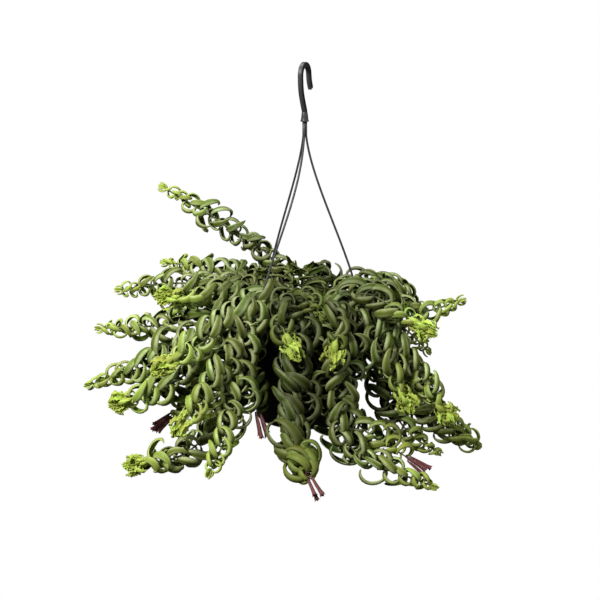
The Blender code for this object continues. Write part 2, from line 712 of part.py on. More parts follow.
def make_tuft_plan(stem, route, roll, placed):
    """The bright tuft at a stem's end: short leaves in close pairs, each pair across the one before."""
    plan = Plan(f"tuft_{stem.name}", route, roll)
    plan.add_ring(route.length - TUFT_LENGTH)
    pairs = []
    for i, (distance, size, _, _) in enumerate(TUFT_PAIRS):
        add_pair(plan, pairs, route.length - distance, SMALL_NODE_HALF, roll + TUFT_ROLL_STEP * i, size)
    plan.add_ring(route.length)
    own_tube = plan.tube(0.0)
    for (ring, face, along, angle, size), (_, _, lean, curl) in zip(pairs, TUFT_PAIRS):
        for side in (0, 1):
            root, tangent, out = side_root(plan, along, angle + 180 * side)
            for shrink in (1.0, 0.85, 0.7, 0.55):
                leaf = Leaf(root, tangent, out, size * shrink, lean, curl, 0.0, TUFT_BREADTH, 0.0, 0.0)
                if is_clear(leaf, own_tube, placed):
                    plan.leaves[(ring, (face + 2 * side) % 4)] = leaf
                    placed.append((leaf_tree(leaf, roots=True), leaf_reach(leaf)))
                    break
    return plan


Bud = namedtuple("Bud", "root tangent out")


def bud_rings(bud, extra=0.0):
    """The four corners of each ring of a bud's tube, from its bent neck to its mouth."""
    across = bud.tangent.cross(bud.out).normalized()
    lean = math.radians(BUD_LEAN)
    heading = bud.out * math.cos(lean) + bud.tangent * math.sin(lean)
    inward = bud.tangent * math.cos(lean) - bud.out * math.sin(lean)
    start = bud.root + bud.out * BUD_NECK[0] + bud.tangent * BUD_NECK[1]
    tube = [(start + heading * reach, radius + extra) for reach, radius in BUD_TUBE]
    corners = ((-1, -1), (1, -1), (1, 1), (-1, 1))
    return [[p + (across * a + inward * b) * r * math.sqrt(0.5) for a, b in corners] for p, r in tube]


def make_bud_plan(stem, route, roll, placed):
    """The maroon tubes at a stem's end."""
    plan = Plan(f"buds_{stem.name}", route, roll)
    plan.add_ring(route.length - BUD_LENGTH)
    pairs = []
    for i, distance in enumerate(BUD_PAIRS):
        add_pair(plan, pairs, route.length - distance, SMALL_NODE_HALF, roll + 90 * i, 1.0)
    plan.add_ring(route.length - BUD_BLUNT)
    for ring, face, along, angle, _ in pairs:
        for side in (0, 1):
            bud = Bud(*side_root(plan, along, angle + 180 * side))
            plan.buds[(ring, (face + 2 * side) % 4)] = bud
            points = [p * 1000 for ring_points in bud_rings(bud, CLEARANCE) for p in ring_points]
            faces = [(4 * k + j, 4 * k + (j + 1) % 4, 4 * k + 4 + (j + 1) % 4, 4 * k + 4 + j)
                     for k in range(len(BUD_TUBE) - 1) for j in range(4)]
            placed.append((BVHTree.FromPolygons(points, faces), (Vector(), 0)))
    return plan


def leaf_faces(bm, quad, leaf):
    """Grows a leaf out of a face of the stem: corners near left, near right, far right, far left."""
    sections, tip = leaf_sections(leaf, stations_for(leaf.size))
    points = [bm.verts.new(p) for section in sections for p in section] + [bm.verts.new(tip)]
    faces = blade_faces(len(sections)) + root_faces(len(points))
    points += quad
    for corners in faces:
        bm.faces.new([points[i] for i in corners])


def bud_faces(bm, quad, bud):
    """Grows a bud's tube out of a face of the stem."""
    low = list(quad)
    for points in bud_rings(bud):
        high = [bm.verts.new(p) for p in points]
        for j in range(4):
            bm.faces.new((low[j], low[(j + 1) % 4], high[(j + 1) % 4], high[j]))
        low = high
    bm.faces.new(low)


def build_plan(plan, material):
    """The stem and what grows on it as one closed mesh: each leaf or bud replaces a face of the stem."""
    bm = bmesh.new()
    rings = [[bm.verts.new(p) for p in plan.corners(ring)] for ring in plan.rings]
    for k, (low, high) in enumerate(zip(rings, rings[1:])):
        for j in range(4):
            quad = (low[j], low[(j + 1) % 4], high[(j + 1) % 4], high[j])
            if (k, j) in plan.leaves:
                leaf_faces(bm, quad, plan.leaves[(k, j)])
            elif (k, j) in plan.buds:
                bud_faces(bm, quad, plan.buds[(k, j)])
            else:
                bm.faces.new(quad)
    bm.faces.new(rings[0])
    bm.faces.new(rings[-1])
    return add_object(plan.name, bm, material)


def back_stems():
    draw = random.Random(5)
    found = []
    for i in range(BACK_COUNT):
        azimuth = BACK_FIRST_AZIMUTH + (BACK_LAST_AZIMUTH - BACK_FIRST_AZIMUTH) * i / (BACK_COUNT - 1)
        shape = BACK_LOW if i % 2 else BACK_HIGH
        bend = draw.uniform(-7, 7)
        reach = draw.uniform(0.92, 1.06)
        points = [(azimuth + bend * k / 2, r * (reach if k else 1), z) for k, (r, z) in enumerate(shape)]
        found.append(Stem(f"back_{i + 1}", points, "tip", 0.92))
    return found


def root_places(stem, taken):
    """Where a stem may stand in the soil: inwards from where it leaves, deeper in for a high one."""
    azimuth, _, height = stem.points[0]
    wanted = 0.056 - millimetres(max(height, 0)) * 0.45
    for ring in range(8):
        for turn in (0, 7, -7, 14, -14, 21, -21):
            spot = polar(azimuth + turn, max(0.006, wanted - 0.005 * ring), 0)
            if all((spot - other).length > ROOT_SPACING for other in taken):
                yield spot


def stem_route(stem, spot, lift, swing):
    upright = [Vector((spot.x, spot.y, SOIL_Z + rise)) for rise in (-ROOT_DEPTH, 0.001, UPRIGHT_HEIGHT)]
    way = [polar(a + swing, millimetres(r), RIM_Z + millimetres(z) + lift) for a, r, z in stem.points]
    return Route([*upright, *way])


def leaves_soil_cleanly(route):
    """True if the stem stands straight in its hole and is well over the soil once it bends."""
    foot = route.points[0]
    for point in route.points:
        if point.xy.length > WALL_TOP_RADIUS:
            return True
        if (point.xy - foot.xy).length > 0.0007 and point.z < SOIL_Z + SOIL_CROWN + STEM_FOOT_RADIUS:
            return False
    return True


def shifts():
    """Small moves of a stem, in (lift, swing), the smallest first."""
    found = [(0.002 * i, 1.5 * j) for i in range(-3, 8) for j in range(-5, 6)]
    return sorted(found, key=lambda shift: abs(shift[0]) * 1000 + abs(shift[1]))


def main_stem(stem, taken, tubes, solids, roll):
    """Lays the stem out clear of the solids and other stems, lifted or swung a little if it must be."""
    for spot in root_places(stem, taken):
        for lift, swing in shifts():
            route = stem_route(stem, spot, lift, swing)
            if not leaves_soil_cleanly(route):
                continue
            plan, pairs = lay_out_stem(stem, route, roll)
            tube = plan.tube(STEM_CLEARANCE)
            if not any(tube.overlap(other) for other in tubes + solids):
                taken.append(spot)
                return plan, pairs, tube
    raise RuntimeError(f"no room for the stem {stem.name}")


def tree_of(name):
    """The outside of a finished object, in millimetres, for finding what touches it."""
    graph = bpy.context.evaluated_depsgraph_get()
    mesh = bpy.data.objects[name].evaluated_get(graph).to_mesh()
    points = [v.co * 1000 for v in mesh.vertices]
    return BVHTree.FromPolygons(points, [p.vertices[:] for p in mesh.polygons])


def main():
    clear_scene()
    plastic = make_material("pot_plastic", (0.018, 0.018, 0.021), 0.42)
    hanger = make_material("hanger_plastic", (0.055, 0.057, 0.062), 0.38)
    peat = make_material("peat", (0.045, 0.028, 0.018), 0.95)
    green = make_material("leaf_green", (0.20, 0.33, 0.07), 0.45)
    lime = make_material("young_leaf", (0.50, 0.65, 0.06), 0.5)
    maroon = make_material("bud_maroon", (0.11, 0.015, 0.018), 0.6)

    make_pot(plastic)
    make_hook(hanger)
    strands = ("strand_right", "strand_back_left", "strand_front_left")
    for name, azimuth, twist in zip(strands, STRAND_AZIMUTHS, STRAND_TWISTS):
        make_strand(name, azimuth, twist, hanger)
    bpy.context.view_layer.update()
    solids = [tree_of(name) for name in ("pot", "hook", *strands)]

    taken = []
    tubes = []
    plans = []
    for i, stem in enumerate(FRONT_STEMS + back_stems()):
        plan, pairs, tube = main_stem(stem, taken, tubes, solids, 37 * i)
        tubes.append(tube)
        plans.append((plan, pairs, stem))
    make_soil(peat, [Vector((s.x, s.y, SOIL_Z - ROOT_DEPTH)) for s in taken])
    bpy.context.view_layer.update()
    solids.append(tree_of("soil"))

    placed = [(tree, (Vector(), 0)) for tree in solids + tubes]
    for index, (plan, pairs, stem) in enumerate(plans):
        others = [p for i, p in enumerate(placed) if i != len(solids) + index]
        before = len(others)
        if stem.end == "tuft":
            build_plan(make_tuft_plan(stem, plan.route, plan.turn, others), lime)
        if stem.end == "buds":
            build_plan(make_bud_plan(stem, plan.route, plan.turn, others), maroon)
        placed += others[before:]
    for index, (plan, pairs, stem) in enumerate(plans):
        others = [p for i, p in enumerate(placed) if i != len(solids) + index]
        before = len(others)
        add_leaves(plan, pairs, others)
        placed += others[before:]
        build_plan(plan, green)
        print(stem.name, len(pairs) * 2, "leaves wanted", len(plan.leaves), "grown")


main()
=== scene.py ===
"""The looks of a curly lipstick plant in a black hanging pot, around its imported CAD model.

Metres, +Z up. The origin is the seat under the hook's crown, the pot's axis is the Z axis and -Y is the
front. The stems and the leaves that the CAD model holds are laid out here again by its own rules, so that
the finer pieces stand where its nodes are, and the leaves that it leaves out grow between them.
"""

import math
import random
from collections import namedtuple

import bmesh
import bpy
import numpy as np
from mathutils import Matrix, Vector
from mathutils.bvhtree import BVHTree


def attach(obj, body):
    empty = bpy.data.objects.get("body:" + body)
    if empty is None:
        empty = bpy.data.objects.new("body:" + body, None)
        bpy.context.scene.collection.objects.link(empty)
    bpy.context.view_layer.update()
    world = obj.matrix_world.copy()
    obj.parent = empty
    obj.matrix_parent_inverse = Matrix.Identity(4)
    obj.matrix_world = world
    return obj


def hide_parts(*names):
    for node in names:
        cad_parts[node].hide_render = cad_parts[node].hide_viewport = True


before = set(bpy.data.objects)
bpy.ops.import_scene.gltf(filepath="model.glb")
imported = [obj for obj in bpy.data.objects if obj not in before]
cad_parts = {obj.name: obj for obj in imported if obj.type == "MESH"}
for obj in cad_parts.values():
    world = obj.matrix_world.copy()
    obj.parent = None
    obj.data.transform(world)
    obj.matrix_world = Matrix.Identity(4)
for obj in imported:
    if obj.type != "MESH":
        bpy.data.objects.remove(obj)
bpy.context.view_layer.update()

# Sizes shared with the CAD model
RIM_Z = -0.310
POT_HEIGHT = 0.120
POT_BASE_Z = RIM_Z - POT_HEIGHT
RIM_RADIUS = 0.076
RIM_BAND = 0.0016
LEDGE_Z = 0.106
LEDGE_THICKNESS = 0.002
WALL = 0.0014
WALL_TOP_RADIUS = 0.068
WALL_FOOT_RADIUS = 0.0603
BASE_THICKNESS = 0.002
FOOT_RECESS = 0.0025
DRAIN_COUNT = 6
DRAIN_RADIUS = 0.004
DRAIN_CIRCLE = 0.038
SOIL_TOP = 0.104
SOIL_CROWN = 0.0025
SOIL_Z = POT_BASE_Z + SOIL_TOP
GAP = 0.0003

STRAND_RADIUS = 0.0013
STRAND_AZIMUTHS = (2.0, 136.0, 215.0)
STRAND_TWISTS = (0.0, 14.0, 36.0)
STRAND_CIRCLE = 0.0716
STRAND_BUNDLE = 0.00175
STRAND_TOP_Z = -0.0574
STRAND_SPLIT_Z = -0.0795
STRAND_BEND = (0.0089, -0.1458)
STRAND_FALL = (0.0713, -0.2483)
ANCHOR_RADIUS = 0.0027
ANCHOR_LENGTH = 0.0045
EYE_RADIUS = 0.0021
HOOK_TURN = math.radians(66)
HOOK_THICKNESS = 0.0060
HOOK_WIDTH = 0.0050
HOOK_FLANGE = 0.0017
HOOK_GROOVE = 0.0009
CROWN_RADIUS = 0.0120

STEM_FOOT_RADIUS = 0.0019
STEM_TIP_RADIUS = 0.0011
ROOT_DEPTH = 0.010
ROOT_SPACING = 0.0085
UPRIGHT_HEIGHT = 0.009
ROUTE_STEP = 0.002
BARE_STEP = 0.018
NODE_HALF = 0.0018
STEM_CLEARANCE = 0.0008

LEAF_LENGTH = 0.060
LEAF_HALF_WIDTH = 0.0057
LEAF_THICKNESS = 0.0013
LEAF_CAMBER = 0.52
LEAF_LEAN = (14, 54)
LEAF_CURL = (235, 340)
LEAF_OVAL = 0.32
LEAF_SWING = (8, 54)
LEAF_CONE = (6, 30)
SWING_SHARE = 0.35
LEAF_DRIFT = 0.0035
UPRIGHT_LEAN = (42, 66)
UPRIGHT_CURL = (70, 170)
LEAF_STEPS = 40
ROLL_STEP = 97
INTERNODE = 0.0088
KEPT_EVERY = 4
BARE_LENGTH = 0.040
CLEARANCE = 0.0004

TUFT_LENGTH = 0.018
TUFT_PAIRS = ((0.0150, 0.44, 34, 235), (0.0095, 0.40, 52, 210), (0.0045, 0.34, 72, 180))
TUFT_BREADTH = 2.2
TUFT_ROLL_STEP = 95

BUD_LENGTH = 0.012
BUD_PAIRS = (0.009, 0.005)
BUD_LEAN = 86
BUD_NECK = (0.0024, 0.0014)
BUD_TUBE = ((0.0, 0.0010), (0.010, 0.0018), (0.021, 0.0021), (0.0260, 0.0028))
SMALL_NODE_HALF = 0.0011

END_LENGTHS = {"tip": 0.0, "spike": 0.0, "tuft": TUFT_LENGTH, "buds": BUD_LENGTH}
END_LEADS = {"tip": 0.0, "spike": 0.012, "tuft": 0.012, "buds": 0.055}

Stem = namedtuple("Stem", "name points end size")

FRONT_STEMS = [
    Stem("front_low", [(264, 84, 6), (264, 98, -72), (264, 122, -113), (273, 151, -150)], "buds", 1.15),
    Stem("front_left_tip", [(252, 80, 38), (257, 106, 16), (266, 122, -10)], "tuft", 0.85),
    Stem("front_right_tip", [(298, 82, 30), (291, 106, 10), (286, 118, -22)], "tuft", 0.85),
    Stem("front_right_long", [(290, 84, 6), (290, 96, -76), (297, 125, -125), (320, 198, -166)], "tip", 1.0),
    Stem("front_right_bud", [(308, 84, 6), (305, 100, -94), (321, 164, -143)], "buds", 1.0),
    Stem("left_reach", [(180, 82, 16), (180, 172, -3), (180, 256, -8)], "tip", 0.95),
    Stem("left_bright", [(188, 82, 38), (189, 128, 38), (190, 178, 38)], "tuft", 1.0),
    Stem("left_arch", [(202, 84, 12), (191, 190, -43), (186, 268, -73)], "tip", 1.0),
    Stem("left_front_bright", [(226, 80, 38), (217, 150, -2), (212, 205, -31)], "tuft", 1.05),
    Stem("left_bent", [(210, 84, 4), (201, 170, -62), (197, 240, -86)], "tuft", 1.05),
    Stem("left_under", [(192, 84, 0), (190, 128, -82), (188, 172, -122)], "buds", 0.9),
    Stem("left_low_bright", [(236, 82, 32), (225, 155, -52), (221, 198, -98)], "tuft", 0.95),
    Stem("left_trail", [(217, 84, -2), (213, 118, -100), (211, 168, -144), (207, 236, -151)], "tuft", 1.05),
    Stem("left_drop", [(234, 84, 16), (233, 146, -98), (234, 186, -141)], "tip", 1.0),
    Stem("left_bud", [(226, 84, 4), (229, 104, -52), (239, 113, -94)], "buds", 0.95),
    Stem("right_front_bright", [(320, 82, 20), (322, 128, -36), (324, 154, -84)], "tuft", 0.95),
    Stem("right_bright", [(336, 82, 18), (336, 145, -46), (338, 190, -102)], "tuft", 0.95),
    Stem("right_low", [(0, 84, 4), (0, 118, -62), (0, 158, -114), (0, 220, -160)], "tip", 1.0),
    Stem("right_under", [(346, 84, 0), (345, 102, -88), (350, 134, -142), (354, 170, -168)], "tip", 1.0),
    Stem("right_reach", [(354, 82, 42), (351, 135, 19), (351, 194, 35)], "tip", 0.9),
    Stem("right_forward", [(328, 80, 46), (329, 134, 28), (330, 171, 8)], "tuft", 1.0),
    Stem("right_top", [(22, 78, 34), (26, 110, 27), (28, 132, 5)], "tip", 0.85),
    Stem("right_mid", [(13, 82, 12), (9, 130, -16), (7, 158, -44)], "tip", 0.85),
    Stem("right_deep", [(22, 84, 2), (13, 125, -48), (8, 168, -88)], "tip", 0.85),
    Stem("left_raised", [(136, 58, 69), (150, 126, 113), (157, 202, 156)], "tip", 0.82),
    Stem("left_back_high", [(143, 82, 40), (144, 160, 50), (147, 222, 51)], "tip", 0.9),
    Stem("left_back_low", [(165, 82, 32), (162, 165, 38), (166, 246, 27)], "tip", 0.9),
    Stem("top_left", [(100, 20, 30), (86, 40, 62)], "spike", 0.75),
    Stem("top_right", [(60, 30, 26), (68, 54, 43)], "tip", 0.75),
    Stem("top_front", [(268, 34, 24), (275, 66, 42), (283, 92, 30)], "tip", 0.9),
    Stem("top_middle", [(160, 16, 34), (122, 30, 68)], "spike", 0.7),
    Stem("top_back_left", [(125, 44, 30), (128, 80, 58)], "spike", 0.8),
    Stem("top_right_front", [(330, 38, 26), (342, 70, 48), (350, 94, 40)], "tip", 0.85),
]
BACK_FIRST_AZIMUTH = 38
BACK_LAST_AZIMUTH = 158
BACK_COUNT = 7
BACK_HIGH = [(82, 34), (145, 26), (205, -22)]
BACK_LOW = [(84, 6), (120, -60), (166, -118)]

# How a fine leaf is cut: stations along it as steps of the CAD leaf's line, and its section
FINE_STATIONS = (0, 2, 4, 7, 10, 13, 16, 19, 22, 25, 28, 31, 34, 37, 39)
SECTION = ((-1.0, 0.50), (-0.91, 0.06), (-0.48, 0.0), (0.0, 0.0), (0.48, 0.0), (0.91, 0.06), (1.0, 0.50),
           (0.89, 0.86), (0.62, 1.0), (0.0, 1.0), (-0.62, 1.0), (-0.89, 0.86))
LEAF_BLADE = 0.0016
LEAF_GROOVE = 0.0012
STEM_SIDES = 7
ROD_SHORT = 0.003


def millimetres(value):
    return value / 1000.0


def polar(azimuth, radius, z):
    angle = math.radians(azimuth)
    return Vector((radius * math.cos(angle), radius * math.sin(angle), z))


# Camera, light and floor

CAMERA_TILT = math.radians(13.4)
CAMERA_PLACE = Vector((-0.005535, -1.45916, 0.06592))
CAMERA_SENSOR = 36
CAMERA_LENS = 1500 / 738 * CAMERA_SENSOR
FLOOR_Z = -2.2
FLOOR_BOUNCE = 0.05
AMBIENT = 0.13
AMBIENT_COLOUR = (1.0, 1.0, 0.86, 1)
LIT_POINT = Vector((0, 0, -0.33))
LIGHTS = (("key", (-1.3, -1.7, 1.35), 0.8, 80, (1.0, 0.985, 0.955)),
          ("fill", (1.7, -1.6, 0.5), 1.4, 9, (1.0, 0.99, 0.97)),
          ("top", (-0.2, 0.5, 1.9), 1.3, 30, (1.0, 0.995, 0.98)))


def make_camera():
    data = bpy.data.cameras.new("camera")
    data.sensor_width = CAMERA_SENSOR
    data.lens = CAMERA_LENS
    data.clip_start = 0.01
    camera = bpy.data.objects.new("camera", data)
    bpy.context.scene.collection.objects.link(camera)
    turn = Matrix.Rotation(math.pi / 2 - CAMERA_TILT, 4, "X")
    camera.matrix_world = Matrix.Translation(CAMERA_PLACE) @ turn
    bpy.context.scene.camera = camera


def add_light(name, place, size, power, colour):
    data = bpy.data.lights.new(name, "AREA")
    data.shape = "DISK"
    data.size = size
    data.energy = power
    data.color = colour
    light = bpy.data.objects.new(name, data)
    light.location = place
    light.rotation_euler = (LIT_POINT - Vector(place)).to_track_quat("-Z", "Y").to_euler()
    bpy.context.scene.collection.objects.link(light)


def white_to_camera(tree, white_kind, other, output):
    """Shows a plain white where the camera looks and gives the other shader's light to everything else."""
    path = tree.nodes.new("ShaderNodeLightPath")
    white = tree.nodes.new(white_kind)
    white.inputs["Color"].default_value = (1, 1, 1, 1)
    mix = tree.nodes.new("ShaderNodeMixShader")
    tree.links.new(path.outputs["Is Camera Ray"], mix.inputs[0])
    tree.links.new(other.outputs[0], mix.inputs[1])
    tree.links.new(white.outputs[0], mix.inputs[2])
    tree.links.new(mix.outputs[0], tree.nodes[output].inputs["Surface"])


def make_stage():
    world = bpy.data.worlds.new("studio")
    world.use_nodes = True
    bpy.context.scene.world = world
    background = world.node_tree.nodes["Background"]
    background.inputs["Color"].default_value = AMBIENT_COLOUR
    background.inputs["Strength"].default_value = AMBIENT
    white_to_camera(world.node_tree, "ShaderNodeBackground", background, "World Output")

    bm = bmesh.new()
    bmesh.ops.create_grid(bm, x_segments=1, y_segments=1, size=12)
    bmesh.ops.translate(bm, verts=bm.verts[:], vec=(0, 0, FLOOR_Z))
    mesh = bpy.data.meshes.new("floor")
    bm.to_mesh(mesh)
    bm.free()
    floor = bpy.data.objects.new("floor", mesh)
    bpy.context.scene.collection.objects.link(floor)
    material = bpy.data.materials.new("floor_white")
    material.use_nodes = True
    tree = material.node_tree
    diffuse = tree.nodes.new("ShaderNodeBsdfDiffuse")
    diffuse.inputs["Color"].default_value = (FLOOR_BOUNCE, FLOOR_BOUNCE, FLOOR_BOUNCE, 1)
    white_to_camera(tree, "ShaderNodeEmission", diffuse, "Material Output")
    mesh.materials.append(material)

    for light in LIGHTS:
        add_light(*light)
    bpy.context.scene.view_settings.view_transform = "Standard"
    bpy.context.scene.view_settings.look = "None"


# The CAD model's own rules for its stems and leaves

class Route:
    """A stem's middle line as points a fixed step apart, each with a frame that doesn't spin."""

    def __init__(self, waypoints):
        points = spline_points(waypoints)
        self.points = even_points(points, ROUTE_STEP)
        self.length = ROUTE_STEP * (len(self.points) - 1)
        self.tangents = []
        self.ups = []
        up = Vector((waypoints[-1].x, waypoints[-1].y, 0)).normalized()
        for i in range(len(self.points)):
            ahead = self.points[min(i + 1, len(self.points) - 1)] - self.points[max(i - 1, 0)]
            tangent = ahead.normalized()
            up = (up - tangent * up.dot(tangent)).normalized()
            self.tangents.append(tangent)
            self.ups.append(up.copy())

    def frame(self, distance):
        place = min(max(distance / ROUTE_STEP, 0), len(self.points) - 1.001)
        i = int(place)
        t = place - i
        point = self.points[i].lerp(self.points[i + 1], t)
        tangent = self.tangents[i].lerp(self.tangents[i + 1], t).normalized()
        up = self.ups[i].lerp(self.ups[i + 1], t)
        return point, tangent, (up - tangent * up.dot(tangent)).normalized()


def spline_points(waypoints):
    """A centripetal Catmull-Rom curve through the waypoints."""
    ends = [waypoints[0] * 2 - waypoints[1], *waypoints, waypoints[-1] * 2 - waypoints[-2]]
    made = [waypoints[0]]
    for p0, p1, p2, p3 in zip(ends, ends[1:], ends[2:], ends[3:]):
        t0 = 0.0
        t1 = t0 + math.sqrt((p1 - p0).length)
        t2 = t1 + math.sqrt((p2 - p1).length)
        t3 = t2 + math.sqrt((p3 - p2).length)
        for i in range(1, 25):
            t = t1 + (t2 - t1) * i / 24
            a1 = p0 * ((t1 - t) / (t1 - t0)) + p1 * ((t - t0) / (t1 - t0))
            a2 = p1 * ((t2 - t) / (t2 - t1)) + p2 * ((t - t1) / (t2 - t1))
            a3 = p2 * ((t3 - t) / (t3 - t2)) + p3 * ((t - t2) / (t3 - t2))
            b1 = a1 * ((t2 - t) / (t2 - t0)) + a2 * ((t - t0) / (t2 - t0))
            b2 = a2 * ((t3 - t) / (t3 - t1)) + a3 * ((t - t1) / (t3 - t1))
            made.append(b1 * ((t2 - t) / (t2 - t1)) + b2 * ((t - t1) / (t2 - t1)))
    return made


def even_points(points, step):
    made = [points[0]]
    left = step
    for a, b in zip(points, points[1:]):
        run = (b - a).length
        done = 0.0
        while run - done >= left:
            done += left
            made.append(a.lerp(b, done / run))
            left = step
        left -= run - done
    return made


def node_distances(leafy_length):
    """Distances back from the tip at which leaf pairs grow: close at the tip, then an even step."""
    found = []
    distance = 0.0
    while True:
        distance += INTERNODE * (1 - math.exp(-(len(found) + 1) / 4))
        if distance > leafy_length:
            return found
        found.append(distance)


def leaf_scale(distance):
    """Size of a leaf against a full one, by its distance from the tip."""
    return min(1.0, 0.36 + 0.64 * (distance / 0.058) ** 0.8)


def leaf_width(u):
    """Half width along the leaf against its widest, from stalk (0) to tip (1)."""
    if u < 0.10:
        return 0.20 + 1.5 * u
    return max(0.0, math.sin(math.pi * min(1.0, 0.10 + 0.90 * u) ** 0.90)) ** 0.95


Leaf = namedtuple("Leaf", "root tangent out size lean curl drift breadth swing cone")


def leaf_sections(leaf, stations, extra=0.0):
    """The CAD leaf: two edges and a keel at each station, then the tip point."""
    sideways = leaf.tangent.cross(leaf.out).normalized()
    length = LEAF_LENGTH * leaf.size
    half_width = LEAF_HALF_WIDTH * leaf.size * leaf.breadth
    point = leaf.root.copy()
    sections = []
    wanted = list(stations)
    for i in range(LEAF_STEPS + 1):
        u = i / LEAF_STEPS
        turned = u + LEAF_OVAL / (2 * math.pi) * math.sin(2 * math.pi * u)
        angle = math.radians(leaf.lean - leaf.curl * turned)
        share = min(1.0, u / SWING_SHARE)
        swing = math.radians(leaf.swing * share)
        forward = leaf.tangent * math.cos(swing) + sideways * math.sin(swing)
        heading = leaf.out * math.cos(angle) + forward * math.sin(angle)
        if wanted and u >= wanted[0] - 1e-9:
            wanted.pop(0)
            cone = math.radians(leaf.cone * share)
            flat = sideways * math.cos(swing) - leaf.tangent * math.sin(swing)
            raised = forward * math.cos(angle) - leaf.out * math.sin(angle)
            across = flat * math.cos(cone) + raised * math.sin(cone)
            outward = raised * math.cos(cone) - flat * math.sin(cone)
            half = half_width * leaf_width(u) + extra
            fall = LEAF_CAMBER * half + extra
            crest = LEAF_THICKNESS * (0.6 + 0.4 * leaf.size) + extra
            centre = point + flat * (leaf.drift * u)
            sections.append((centre + across * half - outward * fall,
                             centre + outward * crest,
                             centre - across * half - outward * fall))
        point = point + heading * (length / LEAF_STEPS)
    return sections, point + flat * leaf.drift


def stations_for(size):
    if size < 0.5:
        return (0.20, 0.55)
    if size < 0.80:
        return (0.15, 0.425, 0.75)
    return (0.125, 0.35, 0.60, 0.825)


def blade_faces(count):
    faces = []
    for k in range(count - 1):
        r0, k0, l0, r1, k1, l1 = range(3 * k, 3 * k + 6)
        faces += [(r0, k0, r1), (k0, k1, r1), (k0, l0, l1), (k0, l1, k1), (l0, r0, r1), (l0, r1, l1)]
    right, keel, left, tip = range(3 * count - 3, 3 * count + 1)
    return faces + [(right, keel, tip), (keel, left, tip), (left, right, tip)]


def root_faces(first):
    near_left, near_right, far_right, far_left = range(first, first + 4)
    right, keel, left = range(3)
    return [(near_left, near_right, right), (near_left, right, left), (near_right, far_right, keel),
            (near_right, keel, right), (far_right, far_left, keel), (far_left, near_left, left),
            (far_left, left, keel)]


def leaf_tree(leaf, roots):
    """A slightly swollen copy of the leaf, in millimetres, for finding what it would touch."""
    sections, tip = leaf_sections(leaf, stations_for(leaf.size), CLEARANCE)
    points = [p for section in sections for p in section] + [tip]
    faces = blade_faces(len(sections))
    if roots:
        across = leaf.tangent.cross(leaf.out).normalized() * (STEM_FOOT_RADIUS * 0.8)
        ahead = leaf.tangent * (NODE_HALF + CLEARANCE)
        faces += root_faces(len(points))
        points += [leaf.root - across - ahead, leaf.root + across - ahead,
                   leaf.root + across + ahead, leaf.root - across + ahead]
    return BVHTree.FromPolygons([p * 1000 for p in points], faces)


def leaf_reach(leaf):
    """A sphere that holds the leaf, as (centre, radius)."""
    length = LEAF_LENGTH * leaf.size
    curled = leaf.curl > UPRIGHT_CURL[1]
    radius = length * (0.42 if curled else 0.75) + 0.006
    centre = leaf.root + leaf.out * (0.20 * length)
    if curled:
        centre = centre - leaf.tangent * (0.14 * length)
    return centre, radius


class Crowd:
    """What is already in place: trees, each with a sphere round it, or radius 0 where it is always tested."""

    def __init__(self):
        self.trees = []
        self.spheres = []

    def add(self, tree, centre=(0, 0, 0), radius=0.0):
        self.trees.append(tree)
        self.spheres.append((*centre, radius))

    def near(self, centre, radius, skipped):
        rows = np.array(self.spheres)
        apart = np.linalg.norm(rows[:, :3] - np.array(centre), axis=1)
        close = (rows[:, 3] == 0) | (apart <= radius + rows[:, 3])
        return [self.trees[i] for i in np.nonzero(close)[0] if i != skipped]


def is_clear(leaf, own_tube, crowd, skipped):
    """True if the leaf touches neither its own stem past the stalk nor anything already there."""
    if leaf_tree(leaf, roots=False).overlap(own_tube):
        return False
    whole = leaf_tree(leaf, roots=True)
    centre, radius = leaf_reach(leaf)
    return not any(whole.overlap(tree) for tree in crowd.near(centre, radius, skipped))


# Ways to bend a leaf that has no room: turned round the stem, leaning more or less, then smaller.
BENDS = [(0, 0, 1.0), (14, 0, 1.0), (-14, 0, 1.0), (0, 20, 1.0), (28, 8, 0.95), (-28, 8, 0.95),
         (0, -18, 0.9), (18, 15, 0.85), (-18, 15, 0.85), (40, 0, 0.8), (-40, 0, 0.8), (0, 25, 0.75),
         (25, 0, 0.65), (-25, 0, 0.65), (0, 10, 0.55)]


def side_root(plan, along, angle):
    point, tangent, up = plan.route.frame(along)
    direction = math.radians(angle)
    out = up * math.cos(direction) + tangent.cross(up) * math.sin(direction)
    return point + out * plan.radius(along) * math.cos(math.pi / 4), tangent, out


def place_leaf(plan, along, angle, side, size, own_tube, crowd, skipped, always):
    """A leaf at a node of the stem, bent until it is clear. Where there is no room: None, or as it grows."""
    draw = random.Random(f"{plan.name} {round(along * 1e6)} {side}")
    grown = size * draw.uniform(0.88, 1.12)
    lean = draw.uniform(*(UPRIGHT_LEAN if plan.upright else LEAF_LEAN))
    curl = draw.uniform(*(UPRIGHT_CURL if plan.upright else LEAF_CURL))
    drift = draw.uniform(-LEAF_DRIFT, LEAF_DRIFT) * size
    swing = draw.uniform(*LEAF_SWING) * plan.swirl
    cone = draw.uniform(*LEAF_CONE) * plan.swirl
    first = None
    for turn, more_lean, shrink in BENDS:
        root, tangent, out = side_root(plan, along, angle + 180 * side + turn)
        leaf = Leaf(root, tangent, out, grown * shrink, lean + more_lean, curl, drift, 1.0, swing, cone)
        if first is None:
            first = leaf
        if is_clear(leaf, own_tube, crowd, skipped):
            return leaf
    return first if always else None


